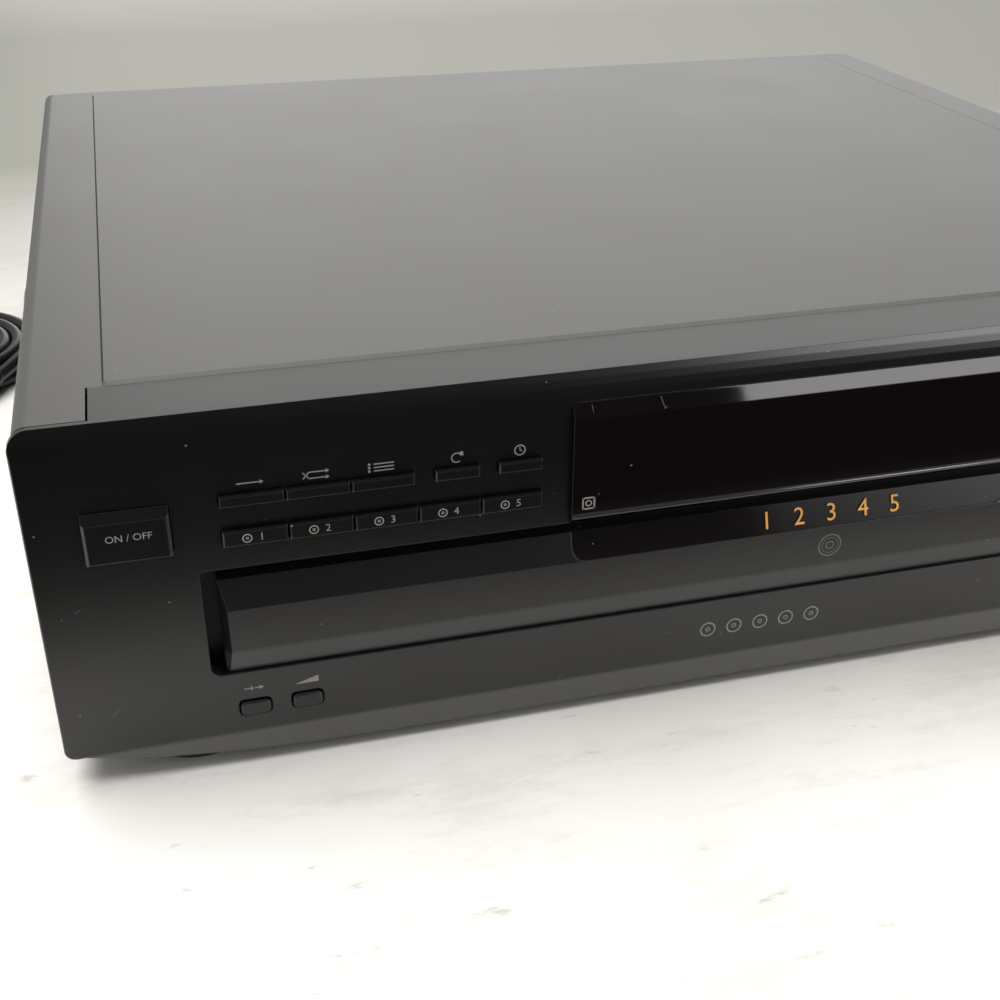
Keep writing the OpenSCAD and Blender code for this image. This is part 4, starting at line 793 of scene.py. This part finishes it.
# %% Signs on the front panel
PANEL_FACE = -190.0 - PRINT
MODE_Z, OVAL_Z, CHIN_Z = 89.4, 25.2, 20.6
DASHES = (-1.0, 0.0, 1.0)
crossed = [
    *arrow(0.6, 0.9, 5.5),
    *arrow(0.6, -0.9, 5.5),
    bar(-3.6, 0.9, -2.0, -0.9),
    bar(-3.6, -0.9, -2.0, 0.9),
]
listed = [bar(-2.2, d, 3.2, d) for d in DASHES] + [ring(-3.4, d, 0.22, 0.3) for d in DASHES]
repeat = [ring(0, 0, 1.35, LINE, 20, 290), fill((0.7, 1.4), (2.0, 0.3), (1.6, 1.9))]
clock = [ring(0, 0, 1.45), bar(0, -0.1, 0, 1.0, 0.3), bar(-0.1, 0, 0.7, -0.3, 0.3)]
skip = [ring(0, 0, 1.35), fill((2.3, 1.1), (2.3, -1.1), (4.0, 0))]
eject = [fill((-1.6, -0.2), (1.6, -0.2), (0, 1.5)), bar(-1.6, -0.9, 1.6, -0.9, 0.45)]
panel_signs = [
    *moved(arrow(0, 0, 7.0), -158.1, MODE_Z),
    *moved(crossed, -140.9, MODE_Z),
    *moved(listed, -123.7, MODE_Z),
    *moved(repeat, -103.6, MODE_Z),
    *moved(clock, -86.1, MODE_Z),
    *moved(arrow(-1.2, 0, 3.0, 1.1) + arrow(1.2, 0, 3.0, 1.1), -162.4, OVAL_Z),
    *moved([fill((-3.4, -1.0), (3.4, -1.0), (3.4, 1.1))], -147.8, OVAL_Z),
    *moved(skip, 86.6, MODE_Z),
    *moved(arrow(0, 0.8, 5.0) + arrow(0, -0.8, 5.0, way=-1), 105.4, MODE_Z),
    *moved(eject, 134.6, MODE_Z),
    ring(203.0, 29.0, 2.2, 0.3, 215, -250),
]
# a row of five small discs on the chin: the rims, then the holes
panel_signs += [ring(-26.0 + 8.6 * i, CHIN_Z, r, w) for r, w in ((2.3, 0.45), (0.6, 0.3)) for i in range(5)]
sign_piece("front_print", panel_signs, "root", grey_ink, PANEL_FACE)
print("signs on the panel:", len(panel_signs), "parts")

# %% [markdown]
# ## Signs on the keys
# The power button has ON / OFF, the play, pause and stop keys have the usual
# triangle, bars and square, and each disc key has a small disc and its number.
# Each sign is a piece of its own, because it rides on its key and moves with it
# when the key is pressed.

# %% Signs on the keys
KEY_FACE, POWER_FACE = -191.8 - PRINT, -193.0 - PRINT
KEY_Z = 74.2
DISC_KEYS = (-158.0, -140.6, -123.2, -105.8, -88.4)
key_signs = {
    "power_button": [numeral("ON / OFF", -189.6, 79.4, 2.8)],
    "play_key": [fill((91.5, KEY_Z + 1.1), (91.5, KEY_Z - 1.1), (93.9, KEY_Z))],
    "pause_key": [bar(x, KEY_Z - 1, x, KEY_Z + 1, 0.6) for x in (117.2, 118.4)],
    "stop_key": moved([fill((-0.9, -0.9), (0.9, -0.9), (0.9, 0.9), (-0.9, 0.9))], 135.2, KEY_Z),
}
for i, x in enumerate(DISC_KEYS):
    disc = [ring(x - 2.2, KEY_Z, 1.15), ring(x - 2.2, KEY_Z, 0.3, 0.25)]
    key_signs[f"disc_key_{i + 1}"] = disc + [numeral(str(i + 1), x + 1.6, KEY_Z, 3.1)]
for key, parts in key_signs.items():
    sign_piece(key + "_print", parts, key, grey_ink, POWER_FACE if key == "power_button" else KEY_FACE)
print("keys with a sign:", len(key_signs))

# %% [markdown]
# ## Signs on the door, the window and the carousel
# The door has a round disc mark, and orange numbers on the gloss strip of its
# upper facet, which leans back. A small mark in the window shows where the
# remote's light goes in. Each place on the carousel has its number, drawn once
# and turned by a fifth of a circle for the next.

# %% Signs on the door, the window and the carousel
DOOR_FACE, WINDOW_FACE = -190.5 - PRINT, -192.0 - PRINT
STRIP_TILT, STRIP_FOOT, STRIP_PROUD = math.radians(19.65), 51.6, 0.35
HUB_AT = np.array([0.0, -10.55])
CAROUSEL_TOP = 48.3
door_signs = [ring(11.3, 45.0, r, w) for r, w in ((3.6, 0.45), (1.2, LINE), (2.6, 0.2))]
sign_piece("door_print", door_signs, "tray", worn_ink, DOOR_FACE)
strip_signs = [numeral(str(i + 1), -10.0 + i * 10.5, 55.9, 7.6) for i in range(5)]
strip_face = DOOR_FACE - STRIP_PROUD
sign_piece("trim_print", strip_signs, "tray", orange_ink, strip_face, STRIP_TILT, STRIP_FOOT)
sensor_signs = [bar(-68.5, z, -64.8, z, 0.5) for z in (69.65, 73.05)]
sensor_signs += [bar(x, 69.4, x, 73.3, 0.5) for x in (-68.3, -65.0)] + [ring(-66.65, 71.35, 0.8, 0.4)]
sign_piece("sensor_print", sensor_signs, "root", grey_ink, WINDOW_FACE)
place_signs = [turned(numeral(str(i + 1), 0.0, -141.0, 13.0), 72 * i, HUB_AT) for i in range(5)]
level_sign("carousel_print", place_signs, "carousel", grey_ink, CAROUSEL_TOP + PRINT)
print("places on the carousel:", len(place_signs))

# %% [markdown]
# ## Signs on the rear panel
# On the rear a thin frame and a small pointer mark each group of jacks. The
# screws that hold the cover are cross-headed. A real cross is cut into the head,
# and shade falls in it. At this size a dark cross laid on it paints that shade in,
# and the CAD model's screws stay as they are.

# %% Signs on the rear panel
REAR_FACE, SCREW_FACE = 192.0 + PRINT, 194.3 + PRINT
SCREW_Z, CROSS = 105.0, 2.1


def outline(x, z, wide, high, width=0.4):
    """Four strokes round a rectangle, by its lower left corner: the level pair, then the upright pair."""
    level = [bar(x, z + d, x + wide, z + d, width) for d in (0, high)]
    return level + [bar(x + d, z, x + d, z + high, width) for d in (0, wide)]


def cross(x, z, arm):
    """Two strokes across each other, one along (1, 0.3) and one along (-0.3, 1)."""
    return [bar(x + arm * a, z + arm * b, x - arm * a, z - arm * b, 0.8) for a, b in ((1, 0.3), (-0.3, 1))]


rear_signs = outline(151.0, 63.5, 34, 23) + outline(113.0, 67.0, 14, 16)
rear_signs += [fill((x, 92.5), (x - 1.6, 89.8), (x + 1.6, 89.8)) for x in (168.0, 120.0)]
sign_piece("rear_print", rear_signs, "root", grey_ink, REAR_FACE, facing=1)
crosses = [line for x in (-150.0, 0.0, 150.0) for line in cross(x, SCREW_Z, CROSS)]
# painted shade: a dark cross on each screw head stands in for the shade in its cut cross
sign_piece("screw_cross_shade", crosses, "root", materials["belt_rubber"], SCREW_FACE, facing=1)
print("rear signs:", len(rear_signs), "strokes of crosses:", len(crosses))

# %% [markdown]
# ## Jack collars
# A phono jack has a plated barrel, and a coloured ring in its mouth tells left
# from right. A torus or a hollow cylinder from Blender's menu would come near,
# but a profile turned about the jack's axis gives each its own section. Both
# stand a hair proud of the plain socket, so that its hole stays open.

# %% Barrels and coloured rings
JACKS = {"#b02a22": 176.0, "#dedbd2": 160.0}
JACK_Z = 75.0
BARREL = [
    (3.8, 194.0), (4.27, 194.0), (4.27, 199.8), (4.05, 200.06), (3.35, 200.06), (3.35, 199.6), (3.8, 199.6)
]
INSULATOR = [(1.7, 199.4), (3.4, 199.4), (3.4, 200.03), (1.7, 200.03)]


def turned_ring(x, z, profile, sides=40):
    """A closed ring about an axis along Y: each (radius, y) of the profile carried round a circle."""
    at = np.array(profile, float)
    turn = np.linspace(0, 2 * np.pi, sides, endpoint=False)
    around = np.stack([np.cos(turn), 0 * turn, np.sin(turn)], -1)[None] * at[:, :1, None]
    points = around + np.array([x, 0, z]) + at[:, 1][:, None, None] * np.array([0, 1.0, 0])
    return points.reshape(-1, 3), [*grid_faces(len(at), sides, closed_rows=True)]


both_barrels = joined(*[turned_ring(x, JACK_Z, BARREL) for x in JACKS.values()])
barrels = mesh_piece("jack_barrels", *both_barrels, "root", smooth=False, material=materials["zinc_steel"])
for hue, x in JACKS.items():
    name = "jack_ring_" + hue[1:]
    plastic = finish(name, hue, hue, rough=0.35, rub_and_sheen=0.0, bump=0.02)
    mesh_piece(name, *turned_ring(x, JACK_Z, INSULATOR), "root", smooth=False, material=plastic)
print("jack collars:", len(barrels.data.polygons), "faces")

# %% [markdown]
# ## Painted shade and light on the cover's step
# The cover's middle is pressed up by half a millimetre. Shade falls at the foot
# of that step, and a dark line along each side paints it in. A darker texture
# could be masked in there, but a narrow matt strip that lies on the slope keeps
# a sharp edge. The slope in front gets a paler strip, a painted light that gives
# it the tone of the lit flat beside it.

# %% Painted shade in the creases, painted light on the front slope
FOOT, HEAD = (191.64, 110.03), (191.14, 110.53)
CREASE_Y = (-164.5, 184)
SLOPE_HALF = 190.6
SLOPE_FOOT, SLOPE_HEAD = (-166.48, 110.02), (-164.48, 110.53)


def strip(name, points, shade):
    """Flat faces through the points, four at a time, with a finish of their own."""
    faces = np.arange(len(points)).reshape(-1, 4)
    return mesh_piece(name, points, faces, "root", smooth=False, material=shade)


def along_side(first, second):
    """Four corners of a strip along Y between two (x, z) lines."""
    (x, z), (x2, z2), (y, y2) = first, second, CREASE_Y
    return [(x, y, z), (x2, y, z2), (x2, y2, z2), (x, y2, z)]


left = along_side((-FOOT[0], FOOT[1]), (-HEAD[0], HEAD[1]))
right = along_side(HEAD, FOOT)
# painted shade: a dark matt strip at the foot of the cover's step on each side
painted_crease_shade = finish("painted_crease_shade", "#2c2c2b", "#343433", rough=0.7, rub_and_sheen=0.0, level=0.2)
strip("cover_crease_shade", left + right, painted_crease_shade)
front = [
    (-SLOPE_HALF, *SLOPE_FOOT),
    (SLOPE_HALF, *SLOPE_FOOT),
    (SLOPE_HALF, *SLOPE_HEAD),
    (-SLOPE_HALF, *SLOPE_HEAD),
]
# painted light: a paler copy of the cover's paint on the front slope, so it shows the tone of the lit flat
# beside it
slope_painted_light = finish("slope_painted_light", "#52524f", "#585855", rough=0.45, rub_and_sheen=0.0, level=0.6)
strip("cover_front_slope", front, slope_painted_light)
print("creases at", FOOT, HEAD)

# %% [markdown]
# ## Scratches
# Years of handling leave short hairlines where fingers and cases slide past:
# on the window's top edge and at the panel's end. A scratch texture would put
# them everywhere, so each is a thin stroke of a paler tone in a chosen place.

# %% Hairline scratches
WINDOW_TILT, WINDOW_EDGE = math.radians(24.0), 97.1
ABOVE_WINDOW = 0.02
scratch = ink("scratch", "#636265", "#434243")
panel_marks = [bar(-201.5, 22.0, -198.6, 25.2, 0.16), bar(-206.0, 57.5, -204.2, 58.2, 0.14)]
window_marks = [
    bar(-46.6, 101.2, -45.6, 97.6, 0.16),
    bar(-45.6, 97.9, -44.9, 98.2, 0.14),
    bar(-66.3, 101.0, -66.0, 98.9, 0.12),
]
sign_piece("panel_scratches", panel_marks, "root", scratch, PANEL_FACE)
window_front = WINDOW_FACE - ABOVE_WINDOW
sign_piece("window_scratches", window_marks, "root", scratch, window_front, WINDOW_TILT, WINDOW_EDGE)
print("scratches:", len(panel_marks) + len(window_marks))

# %% [markdown]
# ## The window's bottom bead
# The smoked window ends in a narrow rounded bead at its foot. It looks down at
# the pale floor and shows as one light line, partly as the floor's reflection and
# partly as a painted highlight, for its tone is paler than the smoked window's. It
# could be one more edge of the CAD model. It is thinner than a CAD model would
# trouble with, so the tube that made the cord makes it too, with its ends drawn in.

# %% Window bead
BEAD_X = np.array([-71.4, -70.9, 70.9, 71.4])
BEAD_R = np.array([0.45, 0.85, 0.85, 0.45])
BEAD_Y, BEAD_Z = -191.9, 67.5
bead_path = np.column_stack([BEAD_X, np.full(4, BEAD_Y), np.full(4, BEAD_Z)])
# partly painted highlight: the bead's finish is paler than the smoked window's
painted_bead_highlight = finish("painted_bead_highlight", "#2c292a", "#312e2f", rough=0.2, rub_and_sheen=0.0, bump=0.0, level=0.8)
window_bead = mesh_piece("window_bead", *sweep(bead_path, BEAD_R, 24), "root", material=painted_bead_highlight)
print("bead:", len(window_bead.data.polygons), "faces")

# %% [markdown]
# ## The floor
# The case stands on a broad painted floor. Plain white would do, but a floor
# that has been walked on is easier to believe: slow patches, worn streaks drawn
# out along X and a few darker scuffs, all noises of different sizes, each cut to
# its own band. A darker, cooler tone towards the back is painted shade, which
# keeps the back of the floor darker than the lamps leave it.


# %% Floor
def stage_plane(name, x, y, z, material):
    """A rectangle from (x, y, z) at its near edge to its far edge: level where z is one height, and
    upright where y is one depth. It belongs to the stage, not to the part."""
    mesh = bpy.data.meshes.new(name)
    near, far = [(x[0], y[0], z[0]), (x[1], y[0], z[0])], [(x[1], y[1], z[1]), (x[0], y[1], z[1])]
    mesh.from_pydata(near + far, [], [(0, 1, 2, 3)])
    made = bpy.data.objects.new(name, mesh)
    made.data.materials.append(material)
    bpy.context.scene.collection.objects.link(made)
    return made


def floor_paint():
    """Pale paint: tone by slow noise, then streaks, scuffs and a painted shade towards the back over it, each
    mixed in where its own noise or Y lies past a threshold."""
    made, wire = new_material("floor_paint")
    place = wire.node("TexCoord", out="Object")
    # painted shade: the floor turns darker and cooler behind the case
    far = place.part("Y").rise(-0.05, 0.5) - place.part("Y").rise(1.0, 2.5) * 0.8
    pale = place.noise(7.0, 4.0).rise(0.35, 0.65).mix(linear("#e5e3de"), linear("#efeeec"))
    drawn_out = wire.node("Mapping", None, {"Vector": place, "Scale": (1.0, 3.2, 1.0)})
    worn = drawn_out.noise(6.0, 9.0, 0.78).rise(0.5, 0.64) * 0.75
    scuff = drawn_out.noise(30.0, 6.0, 0.7).rise(0.62, 0.7) * 0.6
    pale = scuff.mix(worn.mix(pale, linear("#d3cfc8")), linear("#a9a499"))
    color = far.mix(pale, linear("#82827a"))
    wire.surface(wire.node("BsdfPrincipled", None, {"Base Color": color, "Roughness": 0.55}))
    return made


stage_plane("floor", (-4, 4), (-4, 4), (0, 0), floor_paint())
print("floor: 8 x 8 m")

# %% [markdown]
# ## What the gloss mirrors
# A glossy black panel shows its surroundings more than its own colour. In a
# studio, cards and lit sheets are set up for it to mirror, out of the camera's
# sight. An environment picture could stand in for them, but it would light the
# floor as well. The dark card fades in, so that its edge doesn't draw a line
# across the panel, and the sheets glow by a ramp along X and Z.


# %% Card and sheet materials
CARD_FADE = [(0.22, 0.0), (0.242, 0.15), (0.262, 0.52), (0.288, 0.88), (0.312, 1.0)]


def card_paint():
    """Black that fades in as -Y grows, by a ramp through the (distance, share) pairs of CARD_FADE."""
    made, wire = new_material("card_black")
    away = wire.node("TexCoord", out="Object").part("Y") * -1.0
    solid = wire.node("ValToRGB", {"stops": [(at, (v, v, v)) for at, v in CARD_FADE]}, {0: away})
    black = wire.node("Emission", None, {"Color": (0.03, 0.03, 0.03, 1.0)})
    clear = wire.node("BsdfTransparent")
    wire.surface(wire.node("MixShader", None, {0: solid, 1: clear, 2: black}))
    return made


def glow_paint(name, strength, along, start, end, least=0.0):
    """Light for mirrors only: from least to full as X * along[0] + Z * along[1] rises from start to end."""
    made, wire = new_material(name)
    place = wire.node("TexCoord", out="Object")
    amount = (place.part("X") * along[0] + place.part("Z") * along[1]).rise(start, end)
    color = amount.mix((least, least, least, 1), (1.0, 0.985, 0.97, 1))
    wire.surface(wire.node("Emission", None, {"Color": color, "Strength": strength}))
    return made


def dark_paint(name):
    """An even glow that is almost black."""
    return glow_paint(name, 0.06, (0, 1), -1, -0.9)


print("the card is clear at Y =", -CARD_FADE[0][0], "m and solid at", -CARD_FADE[-1][0], "m")

# %% [markdown]
# ## The card and the sheets in place
# Where a sheet stands decides what the gloss shows. The card lies on the floor
# in front, so the upper half of the panel mirrors black and the lower half pale
# floor. The sheet at the right puts a glare on the window, the bright one behind
# lights the satin cover and stops at the left, where the cover is darker, and a
# dark wall and roof keep the rest calm. They could be lamps, but a lamp lights
# the floor too. These are hidden from all but reflections.

# %% Card and sheets
FRONT_Y, CARD_Z, ROOF_Z = -2.2, 0.002, 1.78
side_glow = glow_paint("glow_right", 5.6, (0.5, 1), 0.215, 0.435)
rear_glow = glow_paint("glow_back", 2.15, (0, -1), -1.4, -0.6, 0.38)
sheets = [
    stage_plane("front_card", (-2, 2), (FRONT_Y, -0.21), (CARD_Z, CARD_Z), card_paint()),
    stage_plane("front_dark", (-3, 0.96), (FRONT_Y, FRONT_Y), (0, 5), dark_paint("glow_dark")),
    stage_plane("right_glow", (0.248, 1.4), (-0.75, -0.75), (0.004, 0.5), side_glow),
    stage_plane("back_glow", (-0.42, 3), (2.6, 2.6), (0.05, 3), rear_glow),
    stage_plane("roof_dark", (-3, 3), (FRONT_Y, 0.3), (ROOF_Z, ROOF_Z), dark_paint("glow_roof")),
]
for sheet in sheets:
    sheet.visible_camera = sheet.visible_shadow = sheet.visible_diffuse = False
print("sheets:", [sheet.name for sheet in sheets])

# %% [markdown]
# ## Lamps
# One large soft box hangs overhead, as a bright ceiling would light the case,
# and a weak one lifts the front. A sun lamp would throw hard shadows. The world
# adds an even grey light from all round.


# %% Lamps and world
def soft_light(name, at, aim, size, power, color=(1.0, 0.985, 0.96)):
    """A rectangular soft box at a point, facing another: its -Z axis points from at to aim, and its X
    axis is level."""
    lamp = bpy.data.lights.new(name, "AREA")
    lamp.shape, lamp.size, lamp.size_y = "RECTANGLE", *size
    lamp.energy, lamp.color = power, color
    made = bpy.data.objects.new(name, lamp)
    back = np.array(at, float) - np.array(aim, float)
    back /= np.linalg.norm(back)
    side = np.cross([0.0, 0.0, 1.0], back)
    side /= np.linalg.norm(side)
    lamp_place = np.eye(4)
    lamp_place[:3, :3] = np.column_stack([side, np.cross(back, side), back])
    lamp_place[:3, 3] = at
    made.matrix_world = Matrix(lamp_place.tolist())
    made.visible_camera = made.visible_glossy = False
    bpy.context.scene.collection.objects.link(made)
    return made


soft_light("overhead", (-0.5, 0.16, 1.7), (-0.3, 0.1, 0), (2.2, 1.6), 56)
soft_light("front_right", (1.25, -1.7, 0.6), (0, -0.2, 0.1), (1.0, 1.2), 3)
world = bpy.data.worlds.new("studio")
world.use_nodes = True
background = world.node_tree.nodes["Background"].inputs
background["Color"].default_value = (0.93, 0.93, 0.92, 1)
background["Strength"].default_value = 0.46
bpy.context.scene.world = world
bpy.context.scene.view_settings.view_transform = "Standard"
